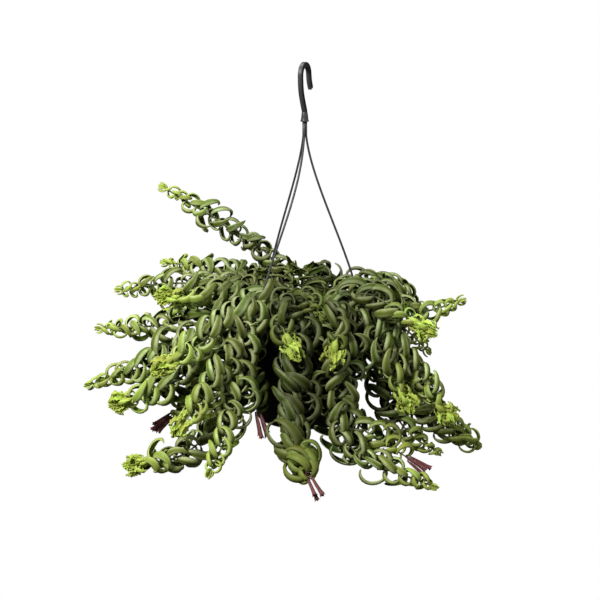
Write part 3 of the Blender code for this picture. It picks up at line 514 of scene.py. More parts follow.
class Plan:
    """What one stem, or the tuft or buds at its end, is made of: its rings, and what grows on it."""

    def __init__(self, name, route, roll):
        self.name = name
        self.route = route
        self.turn = roll
        self.swirl = 1 if len(name) % 2 else -1
        self.upright = False
        self.rings = []
        self.leaves = []
        self.buds = []

    def radius(self, along):
        return STEM_FOOT_RADIUS + (STEM_TIP_RADIUS - STEM_FOOT_RADIUS) * along / self.route.length

    def add_ring(self, along):
        self.rings.append((along, self.turn))

    def face_for(self, angle):
        best = min(range(4), key=lambda j: abs((angle - 90 * j - self.turn + 180) % 360 - 180))
        self.turn += (angle - 90 * best - self.turn + 180) % 360 - 180

    def tube(self, extra):
        points = []
        faces = []
        for along, turn in self.rings:
            point, tangent, up = self.route.frame(along)
            across = tangent.cross(up)
            radius = self.radius(along) + extra
            for j in range(4):
                angle = math.radians(turn - 45 + 90 * j)
                points.append((point + (up * math.cos(angle) + across * math.sin(angle)) * radius) * 1000)
        for k in range(len(self.rings) - 1):
            for j in range(4):
                a, b = 4 * k + j, 4 * k + (j + 1) % 4
                faces.append((a, b, b + 4, a + 4))
        return BVHTree.FromPolygons(points, faces)


Pair = namedtuple("Pair", "along angle size kept")


def lay_out_stem(stem, route, roll):
    """The stem's rings as in the CAD model, and every leaf pair on it, the kept ones first."""
    plan = Plan(f"stem_{stem.name}", route, roll)
    plan.upright = stem.end == "spike"
    end = END_LENGTHS[stem.end]
    stop = route.length - end - (GAP if end else 0.0)
    pairs = []
    for i, distance in enumerate(node_distances(route.length - BARE_LENGTH)):
        if distance > end + 2 * NODE_HALF:
            size = stem.size * leaf_scale(distance + END_LEADS[stem.end])
            pairs.append(Pair(route.length - distance, roll + ROLL_STEP * i, size, i % KEPT_EVERY == 1))
    kept = [p for p in reversed(pairs) if p.kept]
    first = kept[0].along
    plan.add_ring(0.0)
    bend = ROOT_DEPTH + UPRIGHT_HEIGHT - 0.003
    bare = max(1, round((first - bend) / BARE_STEP))
    for i in range(bare):
        plan.add_ring(bend + (first - NODE_HALF - bend) * i / bare)
    for pair in kept:
        add_pair(plan, pair.along, NODE_HALF * (0.5 + 0.5 * pair.size / stem.size), pair.angle)
    plan.add_ring(stop)
    return plan, kept, [p for p in reversed(pairs) if not p.kept]


def add_pair(plan, along, half, angle):
    plan.face_for(angle)
    plan.add_ring(along - half)
    plan.add_ring(along + half)


def back_stems():
    draw = random.Random(5)
    found = []
    for i in range(BACK_COUNT):
        azimuth = BACK_FIRST_AZIMUTH + (BACK_LAST_AZIMUTH - BACK_FIRST_AZIMUTH) * i / (BACK_COUNT - 1)
        shape = BACK_LOW if i % 2 else BACK_HIGH
        bend = draw.uniform(-7, 7)
        reach = draw.uniform(0.92, 1.06)
        points = [(azimuth + bend * k / 2, r * (reach if k else 1), z) for k, (r, z) in enumerate(shape)]
        found.append(Stem(f"back_{i + 1}", points, "tip", 0.92))
    return found


def root_places(stem, taken):
    azimuth, _, height = stem.points[0]
    wanted = 0.056 - millimetres(max(height, 0)) * 0.45
    for ring in range(8):
        for turn in (0, 7, -7, 14, -14, 21, -21):
            spot = polar(azimuth + turn, max(0.006, wanted - 0.005 * ring), 0)
            if all((spot - other).length > ROOT_SPACING for other in taken):
                yield spot


def stem_route(stem, spot, lift, swing):
    upright = [Vector((spot.x, spot.y, SOIL_Z + rise)) for rise in (-ROOT_DEPTH, 0.001, UPRIGHT_HEIGHT)]
    way = [polar(a + swing, millimetres(r), RIM_Z + millimetres(z) + lift) for a, r, z in stem.points]
    return Route([*upright, *way])


def leaves_soil_cleanly(route):
    foot = route.points[0]
    for point in route.points:
        if point.xy.length > WALL_TOP_RADIUS:
            return True
        if (point.xy - foot.xy).length > 0.0007 and point.z < SOIL_Z + SOIL_CROWN + STEM_FOOT_RADIUS:
            return False
    return True


def shifts():
    found = [(0.002 * i, 1.5 * j) for i in range(-3, 8) for j in range(-5, 6)]
    return sorted(found, key=lambda shift: abs(shift[0]) * 1000 + abs(shift[1]))


def main_stem(stem, taken, tubes, solids, roll):
    """Lays the stem out clear of the solids and the other stems, as the CAD model does."""
    for spot in root_places(stem, taken):
        for lift, swing in shifts():
            route = stem_route(stem, spot, lift, swing)
            if not leaves_soil_cleanly(route):
                continue
            plan, kept, others = lay_out_stem(stem, route, roll)
            tube = plan.tube(STEM_CLEARANCE)
            if not any(tube.overlap(other) for other in tubes + solids):
                taken.append(spot)
                return plan, kept, others, tube
    raise RuntimeError(f"no room for the stem {stem.name}")


def tree_of(name):
    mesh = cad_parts[name].data
    points = [v.co * 1000 for v in mesh.vertices]
    return BVHTree.FromPolygons(points, [p.vertices[:] for p in mesh.polygons])


def make_tuft_plan(stem, route, roll, crowd, skipped):
    plan = Plan(f"tuft_{stem.name}", route, roll)
    plan.add_ring(route.length - TUFT_LENGTH)
    for i, (distance, _, _, _) in enumerate(TUFT_PAIRS):
        add_pair(plan, route.length - distance, SMALL_NODE_HALF, roll + TUFT_ROLL_STEP * i)
    plan.add_ring(route.length)
    own_tube = plan.tube(0.0)
    for i, (distance, size, lean, curl) in enumerate(TUFT_PAIRS):
        for side in (0, 1):
            angle = roll + TUFT_ROLL_STEP * i + 180 * side
            root, tangent, out = side_root(plan, route.length - distance, angle)
            for shrink in (1.0, 0.85, 0.7, 0.55):
                leaf = Leaf(root, tangent, out, size * shrink, lean, curl, 0.0, TUFT_BREADTH, 0.0, 0.0)
                if is_clear(leaf, own_tube, crowd, skipped):
                    plan.leaves.append(leaf)
                    crowd.add(leaf_tree(leaf, roots=True), *leaf_reach(leaf))
                    break
    return plan


Bud = namedtuple("Bud", "root tangent out")


def bud_axis(bud):
    """(start, direction along the tube, direction across it, direction inwards)."""
    across = bud.tangent.cross(bud.out).normalized()
    lean = math.radians(BUD_LEAN)
    heading = bud.out * math.cos(lean) + bud.tangent * math.sin(lean)
    inward = bud.tangent * math.cos(lean) - bud.out * math.sin(lean)
    return bud.root + bud.out * BUD_NECK[0] + bud.tangent * BUD_NECK[1], heading, across, inward


def make_bud_plan(stem, route, roll, crowd):
    plan = Plan(f"buds_{stem.name}", route, roll)
    for i, distance in enumerate(BUD_PAIRS):
        for side in (0, 1):
            bud = Bud(*side_root(plan, route.length - distance, roll + 90 * i + 180 * side))
            plan.buds.append(bud)
            start, heading, across, inward = bud_axis(bud)
            points = []
            for reach, radius in BUD_TUBE:
                for a, b in ((-1, -1), (1, -1), (1, 1), (-1, 1)):
                    r = (radius + CLEARANCE) * math.sqrt(0.5)
                    points.append((start + heading * reach + (across * a + inward * b) * r) * 1000)
            faces = [(4 * k + j, 4 * k + (j + 1) % 4, 4 * k + 4 + (j + 1) % 4, 4 * k + 4 + j)
                     for k in range(len(BUD_TUBE) - 1) for j in range(4)]
            crowd.add(BVHTree.FromPolygons(points, faces))
    return plan


# Fine meshes

class Shape:
    """A mesh in the making: closed grids with four facts at each point, and a map with a cell for each."""

    def __init__(self):
        self.points = []
        self.facts = []
        self.faces = []
        self.cells = []
        self.count = 0

    def add_tube(self, rings, facts, tip=None, tip_facts=None, foot=True):
        """rings is (rows, columns, 3), each row a closed loop. A fan closes each end, the far one at the
        tip where one is given."""
        rows, columns = rings.shape[:2]
        first = self.count
        self.points.append(rings.reshape(-1, 3))
        self.facts.append(facts.reshape(-1, 4))
        cell = []
        made = []
        for k in range(rows - 1):
            for j in range(columns):
                n = (j + 1) % columns
                a, b = first + k * columns + j, first + k * columns + n
                made.append((a, b, b + columns, a + columns))
                cell.append(((k, j), (k, j + 1), (k + 1, j + 1), (k + 1, j)))
        self.count += rows * columns
        last = first + (rows - 1) * columns
        if tip is None:
            tip = rings[-1].mean(axis=0)
            tip_facts = facts[-1].mean(axis=0)
        self.points.append(np.array(tip).reshape(1, 3))
        self.facts.append(np.array(tip_facts).reshape(1, 4))
        for j in range(columns):
            made.append((last + j, last + (j + 1) % columns, self.count))
            cell.append(((rows - 1, j), (rows - 1, j + 1), (rows, j + 0.5)))
        self.count += 1
        if foot:
            self.points.append(rings[0].mean(axis=0).reshape(1, 3))
            self.facts.append(facts[0].mean(axis=0).reshape(1, 4))
            for j in range(columns):
                made.append((first + (j + 1) % columns, first + j, self.count))
                cell.append(((0, j + 1), (0, j), (-0.6, j + 0.5)))
            self.count += 1
        self.faces += made
        self.cells.append((cell, rows + 0.6, columns))

    def add_hairs(self, roots, tips, width, facts):
        """Thin three-sided hairs, which share one cell of the map."""
        roots, tips = np.array(roots), np.array(tips)
        ahead = tips - roots
        side = np.cross(ahead, (0.31, 0.52, 0.80))
        side /= np.linalg.norm(side, axis=1)[:, None]
        other = np.cross(ahead, side)
        other /= np.linalg.norm(other, axis=1)[:, None]
        corners = [roots + (side * math.cos(a) + other * math.sin(a)) * width for a in (0.0, 2.094, 4.189)]
        first = self.count
        self.points.append(np.stack([*corners, tips], axis=1).reshape(-1, 3))
        self.facts.append(np.broadcast_to(np.array(facts, float), (len(roots) * 4, 4)))
        cell = []
        for i in range(first, first + 4 * len(roots), 4):
            self.faces += [(i, i + 1, i + 3), (i + 1, i + 2, i + 3), (i + 2, i, i + 3), (i + 2, i + 1, i)]
            cell += [((0, 0), (0, 1), (1, 0.5)), ((0, 1), (0, 2), (1, 1.5)), ((0, 2), (0, 3), (1, 2.5)),
                     ((0, 2), (0, 1), (-0.5, 1.5))]
        self.cells.append((cell, 1.6, 3))
        self.count += 4 * len(roots)

    def build(self, name, material):
        points = np.concatenate(self.points)
        facts = np.concatenate(self.facts)
        mesh = bpy.data.meshes.new(name)
        mesh.from_pydata(points.tolist(), [], self.faces)
        mesh.shade_smooth()
        attribute = mesh.attributes.new("growth", "FLOAT_COLOR", "POINT")
        attribute.data.foreach_set("color", facts.astype(np.float32).ravel())
        side = math.ceil(math.sqrt(len(self.cells)))
        spots = []
        for index, (cell, rows, columns) in enumerate(self.cells):
            left, low = index % side, index // side
            for corners in cell:
                for k, j in corners:
                    spots.append((left + 0.03 + 0.94 * (k + 0.6) / (rows + 0.0)) / side)
                    spots.append((low + 0.03 + 0.94 * j / columns) / side)
        layer = mesh.uv_layers.new(name="OFBake")
        layer.uv.foreach_set("vector", np.array(spots, np.float32))
        mesh.materials.append(material)
        obj = bpy.data.objects.new(name, mesh)
        bpy.context.scene.collection.objects.link(obj)
        return obj


LEAF_U = np.arange(LEAF_STEPS + 1) / LEAF_STEPS
LEAF_TURNED = LEAF_U + LEAF_OVAL / (2 * math.pi) * np.sin(2 * math.pi * LEAF_U)
LEAF_WIDTHS = np.array([leaf_width(u) for u in LEAF_U])
SECTION_V = np.array([v for v, _ in SECTION])
SECTION_IN = np.array([inner for _, inner in SECTION])


def add_fine_leaf(shape, leaf, youth, draw, frill=0.0, slim=1.0):
    """The CAD leaf's line with a thin, cupped blade round it, its rims curled in and its tip pointed."""
    tangent, out = np.array(leaf.tangent), np.array(leaf.out)
    sideways = np.cross(tangent, out)
    sideways /= np.linalg.norm(sideways)
    share = np.minimum(1.0, LEAF_U / SWING_SHARE)[:, None]
    angle = np.radians(leaf.lean - leaf.curl * LEAF_TURNED)[:, None]
    swing, cone = np.radians(leaf.swing * share), np.radians(leaf.cone * share)
    forward = tangent * np.cos(swing) + sideways * np.sin(swing)
    heading = out * np.cos(angle) + forward * np.sin(angle)
    flat = sideways * np.cos(swing) - tangent * np.sin(swing)
    raised = forward * np.cos(angle) - out * np.sin(angle)
    across = flat * np.cos(cone) + raised * np.sin(cone)
    outward = raised * np.cos(cone) - flat * np.sin(cone)
    length = LEAF_LENGTH * leaf.size
    steps = np.concatenate([np.zeros((1, 3)), np.cumsum(heading[:-1], axis=0)]) * (length / LEAF_STEPS)
    line = np.array(leaf.root) + steps + flat * (leaf.drift * LEAF_U)[:, None]
    rows = list(FINE_STATIONS)
    u = LEAF_U[rows]
    half = LEAF_HALF_WIDTH * leaf.size * leaf.breadth * LEAF_WIDTHS[rows] * slim
    half *= 1 + 0.05 * np.sin(u * draw.uniform(9, 16) + draw.uniform(0, 6))
    fall = LEAF_CAMBER * half
    crest = LEAF_THICKNESS * (0.6 + 0.4 * leaf.size)
    blade = LEAF_BLADE * (0.5 + 0.5 * leaf.size)
    twist = draw.uniform(-0.22, 0.22) * u
    v = SECTION_V[None, :]
    height = crest - (crest + fall)[:, None] * np.abs(v) ** 2.2
    height -= LEAF_GROOVE * leaf.size * np.exp(-(v / 0.16) ** 2) * (1 - SECTION_IN)
    height -= blade * SECTION_IN[None, :] * np.ones_like(height)
    if frill:
        phase = draw.uniform(0, 6)
        height += frill * np.sin(u[:, None] * 23 + phase + v * 2.5) * np.abs(v) ** 1.3
        height += frill * 0.6 * np.sin(u[:, None] * 41 + phase * 2 - v * 3.1)
    side = v * half[:, None] * (1 - 0.06 * SECTION_IN[None, :])
    spread = side * np.cos(twist)[:, None] - height * np.sin(twist)[:, None]
    lift = side * np.sin(twist)[:, None] + height * np.cos(twist)[:, None]
    rings = line[rows][:, None, :] + across[rows][:, None, :] * spread[:, :, None]
    rings = rings + outward[rows][:, None, :] * lift[:, :, None]
    facts = np.zeros((*rings.shape[:2], 4))
    facts[..., 0] = np.abs(v)
    facts[..., 1] = np.clip((1 - SECTION_IN) * 2, 0, 1) if leaf.curl > 0 else 1.0
    facts[..., 2] = np.clip(youth + 0.10 * u[:, None], 0, 1)
    facts[..., 3] = draw.random()
    tip = line[-1] + outward[-1] * (crest - blade) * 0.3
    shape.add_tube(rings, facts, tip, facts[-1].mean(axis=0))


def add_rod(shape, line, radii, facts, sides, up=None):
    """A round rod along a line of points."""
    line = np.array(line)
    ahead = np.gradient(line, axis=0)
    ahead /= np.linalg.norm(ahead, axis=1)[:, None]
    first = np.array(up) if up is not None else np.array((0.3, 0.5, 0.81))
    side = np.cross(ahead[0], first)
    side /= np.linalg.norm(side)
    rings = []
    for point, forward, radius in zip(line, ahead, radii):
        side = side - forward * side.dot(forward)
        side /= np.linalg.norm(side)
        other = np.cross(forward, side)
        turn = np.linspace(0, 2 * math.pi, sides, endpoint=False)[:, None]
        rings.append(point + (side * np.cos(turn) + other * np.sin(turn)) * radius)
    rings = np.array(rings)
    made = np.broadcast_to(np.array(facts, float)[:, None, :], (*rings.shape[:2], 4))
    shape.add_tube(rings, made.copy())


# Materials

class Nodes:
    """A new material with its shader and object coordinates, and short ways to add nodes to it."""

    def __init__(self, name, grown=False):
        self.material = bpy.data.materials.new(name)
        self.material.use_nodes = True
        self.tree = self.material.node_tree
        self.shader = self.tree.nodes["Principled BSDF"]
        self.place = self.add("ShaderNodeTexCoord").outputs["Object"]
        if grown:
            growth = self.add("ShaderNodeAttribute", attribute_name="growth")
            parts = self.add("ShaderNodeSeparateColor")
            self.link(growth.outputs["Color"], parts.inputs[0])
            self.facts = (parts.outputs[0], parts.outputs[1], parts.outputs[2], growth.outputs["Alpha"])

    def add(self, kind, **values):
        node = self.tree.nodes.new(kind)
        for key, value in values.items():
            if hasattr(node, key):
                setattr(node, key, value)
            else:
                node.inputs[key].default_value = value
        return node

    def link(self, source, target):
        self.tree.links.new(source, target)

    def feed(self, value, socket):
        """Sets a number or a colour on the socket, or links it to another node's output."""
        if isinstance(value, (int, float)):
            socket.default_value = value
        elif isinstance(value, tuple):
            socket.default_value = (*value, 1.0)
        else:
            self.link(value, socket)

    def noise(self, scale, detail=3.0, roughness=0.55):
        node = self.add("ShaderNodeTexNoise", Scale=scale, Detail=detail, Roughness=roughness)
        self.link(self.place, node.inputs["Vector"])
        return node.outputs["Fac"]

    def ramp(self, value, low, high, out_low=0.0, out_high=1.0):
        node = self.add("ShaderNodeMapRange", interpolation_type="SMOOTHSTEP")
        node.inputs["From Min"].default_value = low
        node.inputs["From Max"].default_value = high
        node.inputs["To Min"].default_value = out_low
        node.inputs["To Max"].default_value = out_high
        self.link(value, node.inputs["Value"])
        return node.outputs["Result"]

    def mix(self, share, a, b):
        node = self.add("ShaderNodeMix", data_type="RGBA")
        self.feed(share, node.inputs[0])
        self.feed(a, node.inputs[6])
        self.feed(b, node.inputs[7])
        return node.outputs[2]

    def maths(self, operation, a, b):
        node = self.add("ShaderNodeMath", operation=operation)
        self.feed(a, node.inputs[0])
        self.feed(b, node.inputs[1])
        return node.outputs[0]

    def bump(self, height, distance, strength):
        node = self.add("ShaderNodeBump", Distance=distance, Strength=strength)
        self.link(height, node.inputs["Height"])
        self.link(node.outputs["Normal"], self.shader.inputs["Normal"])


LEAF_COLOURS = {
    "outer": (0.135, 0.182, 0.028),
    # The inside face: partly its own darker green, partly painted shade of the curl's hollow
    "inner": (0.036, 0.064, 0.002),
    # Painted highlight, partly the leaf's own paler edge: the colour towards the rims
    "rim": (0.520, 0.590, 0.280),
    # Painted shade: the darker colour down the groove in the middle
    "groove": (0.070, 0.108, 0.010),
    "lime_outer": (0.460, 0.570, 0.090),
    "lime_inner": (0.180, 0.270, 0.012),
    "deep": (0.062, 0.095, 0.006),
}


# Painted shade: the leaves near the pot's axis, deep in the foliage, are darker: (from, to) in metres off the
# pot's axis, and the two shades
PAINTED_SHADE_NEAR_AXIS = (0.085, 0.165, 0.60, 1.0)


def make_leaf_material(name, shade):
    """Waxy leaf: light outside, with pale rims that are partly a painted highlight and a groove down the
    middle painted darker as shade, dark inside, partly as painted shade, lime when young. The shade
    argument is the copy's painted light or shade.
    """
    n = Nodes(name, grown=True)
    across, outer, youth, chance = n.facts
    mottle = n.noise(75.0, 4.0, 0.6)
    fine = n.noise(900.0, 3.0, 0.6)

    # Paler towards the rims: partly the leaf's own paler edge, partly a painted highlight
    face = n.mix(n.ramp(across, 0.24, 0.84), LEAF_COLOURS["outer"], LEAF_COLOURS["rim"])
    # Painted shade: darker down the middle, in the groove
    face = n.mix(n.ramp(across, 0.0, 0.30, 0.75, 0.0), face, LEAF_COLOURS["groove"])
    face = n.mix(n.ramp(mottle, 0.38, 0.66, 0.0, 0.45), face, LEAF_COLOURS["deep"])
    # The inside face takes the dark colour: partly its own, partly painted shade of the curl's hollow
    green = n.mix(outer, LEAF_COLOURS["inner"], face)
    lime = n.mix(outer, LEAF_COLOURS["lime_inner"], LEAF_COLOURS["lime_outer"])
    value = n.maths("ADD", n.maths("MULTIPLY", chance, 0.50), 0.75)
    value = n.maths("MULTIPLY", n.maths("ADD", value, n.maths("MULTIPLY", mottle, 0.16)), shade)
    # Painted shade: darker towards the pot's axis, inside the foliage
    level = n.add("ShaderNodeVectorMath", operation="MULTIPLY")
    level.inputs[1].default_value = (1, 1, 0)
    n.link(n.place, level.inputs[0])
    reach = n.add("ShaderNodeVectorMath", operation="LENGTH")
    n.link(level.outputs["Vector"], reach.inputs[0])
    value = n.maths("MULTIPLY", value, n.ramp(reach.outputs["Value"], *PAINTED_SHADE_NEAR_AXIS))
    tone = n.add("ShaderNodeHueSaturation")
    n.link(n.mix(youth, green, lime), tone.inputs["Color"])
    n.link(value, tone.inputs["Value"])
    n.link(n.maths("ADD", n.maths("MULTIPLY", chance, 0.03), 0.487), tone.inputs["Hue"])
    n.link(tone.outputs[0], n.shader.inputs["Base Color"])
    n.link(n.ramp(fine, 0.3, 0.7, 0.42, 0.58), n.shader.inputs["Roughness"])
    n.shader.inputs["Specular IOR Level"].default_value = 0.24
    n.bump(fine, 0.0003, 0.35)
    return n.material


def make_stem_material():
    """Thin woody green-brown stems, greener towards the tip."""
    n = Nodes("stem_bark", grown=True)
    patches = n.ramp(n.noise(240.0, 4.0, 0.6), 0.35, 0.65)
    brown = n.mix(patches, (0.060, 0.048, 0.020), (0.105, 0.095, 0.035))
    green = n.mix(patches, (0.120, 0.180, 0.030), (0.200, 0.270, 0.060))
    n.link(n.mix(n.facts[2], brown, green), n.shader.inputs["Base Color"])
    n.shader.inputs["Roughness"].default_value = 0.6
    n.bump(n.noise(1100.0), 0.0004, 0.5)
    return n.material


def make_bud_material():
    """Maroon calyx: the inside of its tube and mouth painted near black as shade, greener at the foot, with
    fine streaks along it.
    """
    n = Nodes("bud_maroon", grown=True)
    along, inside, _, _ = n.facts
    red = n.mix(n.ramp(n.noise(420.0, 4.0, 0.65), 0.35, 0.7), (0.095, 0.013, 0.018), (0.190, 0.042, 0.045))
    red = n.mix(n.ramp(along, 0.0, 0.35, 0.6, 0.0), red, (0.110, 0.120, 0.035))
    # Painted shade: the inner wall of the tube and mouth is near black
    red = n.mix(n.ramp(inside, 0.4, 0.6), red, (0.022, 0.006, 0.010))
    n.link(red, n.shader.inputs["Base Color"])
    n.shader.inputs["Roughness"].default_value = 0.62
    n.shader.inputs["Sheen Weight"].default_value = 0.35
    n.shader.inputs["Sheen Roughness"].default_value = 0.4
    n.bump(n.noise(1400.0, 2.0), 0.0003, 0.4)
    return n.material


def make_plastic_material(name, colour, worn, roughness, grain):
    """Moulded plastic with a faint grain, a little dust and softer gloss in patches."""
    n = Nodes(name)
    dust = n.noise(38.0, 5.0, 0.65)
    n.link(n.mix(n.ramp(dust, 0.42, 0.75, 0.0, 0.55), colour, worn), n.shader.inputs["Base Color"])
    n.link(n.ramp(dust, 0.3, 0.7, roughness - 0.06, roughness + 0.12), n.shader.inputs["Roughness"])
    n.shader.inputs["Specular IOR Level"].default_value = 0.5
    n.bump(n.noise(grain, 3.0, 0.6), 0.0002, 0.25)
    return n.material


def make_peat_material():
    """Dark peat in clumps, with light bits in it."""
    n = Nodes("peat")
    clumps = n.noise(120.0, 6.0, 0.7)
    bits = n.noise(620.0, 4.0, 0.7)
    dark = n.mix(n.ramp(clumps, 0.35, 0.68), (0.016, 0.010, 0.006), (0.060, 0.036, 0.020))
    n.link(n.mix(n.ramp(bits, 0.62, 0.74), dark, (0.170, 0.115, 0.065)), n.shader.inputs["Base Color"])
    n.shader.inputs["Roughness"].default_value = 0.95
    n.bump(n.maths("ADD", clumps, bits), 0.0015, 0.9)
    return n.material


# Rigid pieces

def dress(piece, node=None):
    """Lets a piece ride on the part, in place of a CAD node where one is given."""
    if node:
        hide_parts(node)
    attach(piece, "root")


def link_mesh(name, bm, material, angle):
    bmesh.ops.recalc_face_normals(bm, faces=bm.faces[:])
    mesh = bpy.data.meshes.new(name)
    bm.to_mesh(mesh)
    bm.free()
    mesh.materials.append(material)
    mesh.shade_smooth()
    mesh.set_sharp_from_angle(angle=math.radians(angle))
    obj = bpy.data.objects.new(name, mesh)
    bpy.context.scene.collection.objects.link(obj)
    return obj


def turned(profile, sides):
    """A solid turned round Z from a profile of (radius, height) that starts and ends on the axis."""
    bm = bmesh.new()
    vertices = [bm.verts.new((r, 0.0, z)) for r, z in profile]
    edges = [bm.edges.new(pair) for pair in zip(vertices, vertices[1:])]
    bmesh.ops.spin(bm, geom=vertices + edges, cent=(0, 0, 0), axis=(0, 0, 1),
                   angle=2 * math.pi, steps=sides, use_merge=True)
    bmesh.ops.remove_doubles(bm, verts=bm.verts[:], dist=1e-6)
    return bm


def add_prism(bm, centre, radius, bottom, top, sides):
    height = top - bottom
    made = bmesh.ops.create_cone(bm, cap_ends=True, segments=sides, radius1=radius, radius2=radius,
                                 depth=height)
    bmesh.ops.translate(bm, verts=made["verts"], vec=(centre[0], centre[1], bottom + height / 2))


def cut_with(obj, cutter):
    modifier = obj.modifiers.new("cut", "BOOLEAN")
    modifier.object = cutter
    modifier.operation = "DIFFERENCE"
    bpy.context.view_layer.update()
    graph = bpy.context.evaluated_depsgraph_get()
    mesh = bpy.data.meshes.new_from_object(obj.evaluated_get(graph))
    obj.modifiers.clear()
    obj.data = mesh
    bpy.data.objects.remove(cutter)


def pot_wall_radius(height):
    return WALL_FOOT_RADIUS + height / LEDGE_Z * (WALL_TOP_RADIUS - WALL_FOOT_RADIUS)


def arc(centre, radius, first, last, count):
    """Points of a quarter turn or so, for rounding a profile's corner."""
    found = []
    for i in range(count + 1):
        angle = math.radians(first + (last - first) * i / count)
        found.append((centre[0] + radius * math.cos(angle), centre[1] + radius * math.sin(angle)))
    return found


def make_pot(material):
    ledge_top = LEDGE_Z + LEDGE_THICKNESS
    band_inner = RIM_RADIUS - RIM_BAND
    floor = FOOT_RECESS + BASE_THICKNESS
    lip = RIM_BAND / 2
    profile = [(0.0, FOOT_RECESS), (0.0485, FOOT_RECESS), (0.0500, 0.0016)]
    profile += arc((0.0520, 0.0012), 0.0012, 180, 270, 4)
    profile += arc((0.0555, 0.0048), 0.0048, 270, 352, 7)
    profile += [(pot_wall_radius(z), z) for z in (0.010, 0.030, 0.050, 0.070, 0.090, 0.1030)]
    profile += [(WALL_TOP_RADIUS + 0.0004, LEDGE_Z - 0.0008), (WALL_TOP_RADIUS + 0.0016, LEDGE_Z)]
    profile += arc((RIM_RADIUS - 0.0012, LEDGE_Z + 0.0012), 0.0012, 270, 360, 4)
    profile += [(RIM_RADIUS, LEDGE_Z + 0.0070)]
    profile += arc((RIM_RADIUS - lip, POT_HEIGHT - lip), lip, 0, 180, 8)
    profile += [(band_inner, ledge_top + 0.0008), (band_inner - 0.0008, ledge_top)]
    profile += [(pot_wall_radius(ledge_top) - WALL, ledge_top), (pot_wall_radius(0.10) - WALL, 0.100)]
    profile += [(pot_wall_radius(0.008) - WALL, 0.008), (0.0545, floor), (0.0, floor)]
    bm = turned(profile, 112)
    bmesh.ops.translate(bm, verts=bm.verts[:], vec=(0, 0, POT_BASE_Z))
    pot = link_mesh("pot_shell", bm, material, 40)
    holes = bmesh.new()
    for i in range(DRAIN_COUNT):
        centre = polar(360 * i / DRAIN_COUNT, DRAIN_CIRCLE, 0)
        add_prism(holes, centre, DRAIN_RADIUS, POT_BASE_Z - 0.005, POT_BASE_Z + 0.010, 24)
    for azimuth in STRAND_AZIMUTHS:
        centre = polar(azimuth, STRAND_CIRCLE, 0)
        add_prism(holes, centre, EYE_RADIUS, POT_BASE_Z + LEDGE_Z - 0.004, POT_BASE_Z + ledge_top + 0.004, 16)
    cut_with(pot, link_mesh("pot_holes", holes, material, 30))
    dress(pot, "pot")


# Where the soil's side starts, above the pot's foot, and how many loose crumbs lie on it
SOIL_FOOT = 0.0085
SOIL_CRUMBS = 420


def make_soil(material):
    """The peat: a lumpy top with loose crumbs on it."""
    rings, sides = 26, 90
    bottom = FOOT_RECESS + BASE_THICKNESS + GAP
    reach = pot_wall_radius(SOIL_TOP) - WALL - GAP - 0.0006
    foot = pot_wall_radius(SOIL_FOOT) - WALL - GAP - 0.0006
    draw = random.Random(11)
    waves = [(draw.uniform(60, 420), draw.uniform(60, 420), draw.uniform(0, 6), draw.uniform(0.0002, 0.0006))
             for _ in range(14)]
    bm = bmesh.new()
    loops = []
    for k in range(1, rings + 1):
        loop = []
        for j in range(sides):
            turn = 2 * math.pi * j / sides
            radius = reach * k / rings
            x, y = radius * math.cos(turn), radius * math.sin(turn)
            z = SOIL_TOP + SOIL_CROWN * (1 - (k / rings) ** 2)
            if k < rings:
                z += sum(h * math.sin(a * x + b * y + c) for a, b, c, h in waves) * 0.8
            loop.append(bm.verts.new((x, y, POT_BASE_Z + z - 0.0002)))
        loops.append(loop)
    centre = bm.verts.new((0, 0, POT_BASE_Z + SOIL_TOP + SOIL_CROWN))
    low = [bm.verts.new((v.co.x * foot / reach, v.co.y * foot / reach, POT_BASE_Z + SOIL_FOOT))
           for v in loops[-1]]
    base = [bm.verts.new((v.co.x * 0.96, v.co.y * 0.96, POT_BASE_Z + bottom)) for v in low]
    under = bm.verts.new((0, 0, POT_BASE_Z + bottom))
    for j in range(sides):
        n = (j + 1) % sides
        bm.faces.new((centre, loops[0][j], loops[0][n]))
        for a, b in zip(loops + [low], loops[1:] + [low, base]):
            if a is not b:
                bm.faces.new((a[j], b[j], b[n], a[n]))
        bm.faces.new((under, base[n], base[j]))
    for _ in range(SOIL_CRUMBS):
        turn, radius = draw.uniform(0, 2 * math.pi), reach * math.sqrt(draw.random()) * 0.97
        size = draw.uniform(0.0006, 0.0019)
        made = bmesh.ops.create_icosphere(bm, subdivisions=1, radius=size)
        stretch = Vector((draw.uniform(0.7, 1.5), draw.uniform(0.7, 1.5), draw.uniform(0.4, 0.9)))
        height = POT_BASE_Z + SOIL_TOP + SOIL_CROWN * (1 - (radius / reach) ** 2) + size * 0.25
        spot = Vector((radius * math.cos(turn), radius * math.sin(turn), height))
        for v in made["verts"]:
            jitter = Vector((draw.uniform(-1, 1), draw.uniform(-1, 1), draw.uniform(-1, 1))) * size * 0.28
            v.co = v.co * stretch + jitter + spot
    soil = link_mesh("soil_peat", bm, material, 50)
    dress(soil, "soil")


def hook_path():
    """The hook's middle line as (across, height), from the collar up, over the crown and down to the tip."""
    shank = [(0.0, -0.0555), (-0.0004, -0.0515), (-0.0036, -0.0445), (-0.0076, -0.0355),
             (-0.0106, -0.0260), (-0.0118, -0.0160)]
    centre = -CROWN_RADIUS + HOOK_THICKNESS / 2
    crown = arc((0.0, centre), CROWN_RADIUS, 178, 2, 22)
    tip = [(0.0136, -0.0165), (0.0176, -0.0262)]
    rough = [Vector((x, 0, z)) for x, z in shank + crown + tip]
    return spline_points(rough)[::4]


# The collar at the hook's foot, as (radius, height)
COLLAR = [(0.0, -0.0506), (0.0024, -0.0508), (0.0031, -0.0516), (0.0037, -0.0540), (0.0041, -0.0575),
          (0.0043, -0.0606), (0.0049, -0.0622), (0.0051, -0.0631), (0.0049, -0.0636), (0.0040, -0.0636),
          (0.0036, -0.0631), (0.0035, -0.0572), (0.0, -0.0570)]


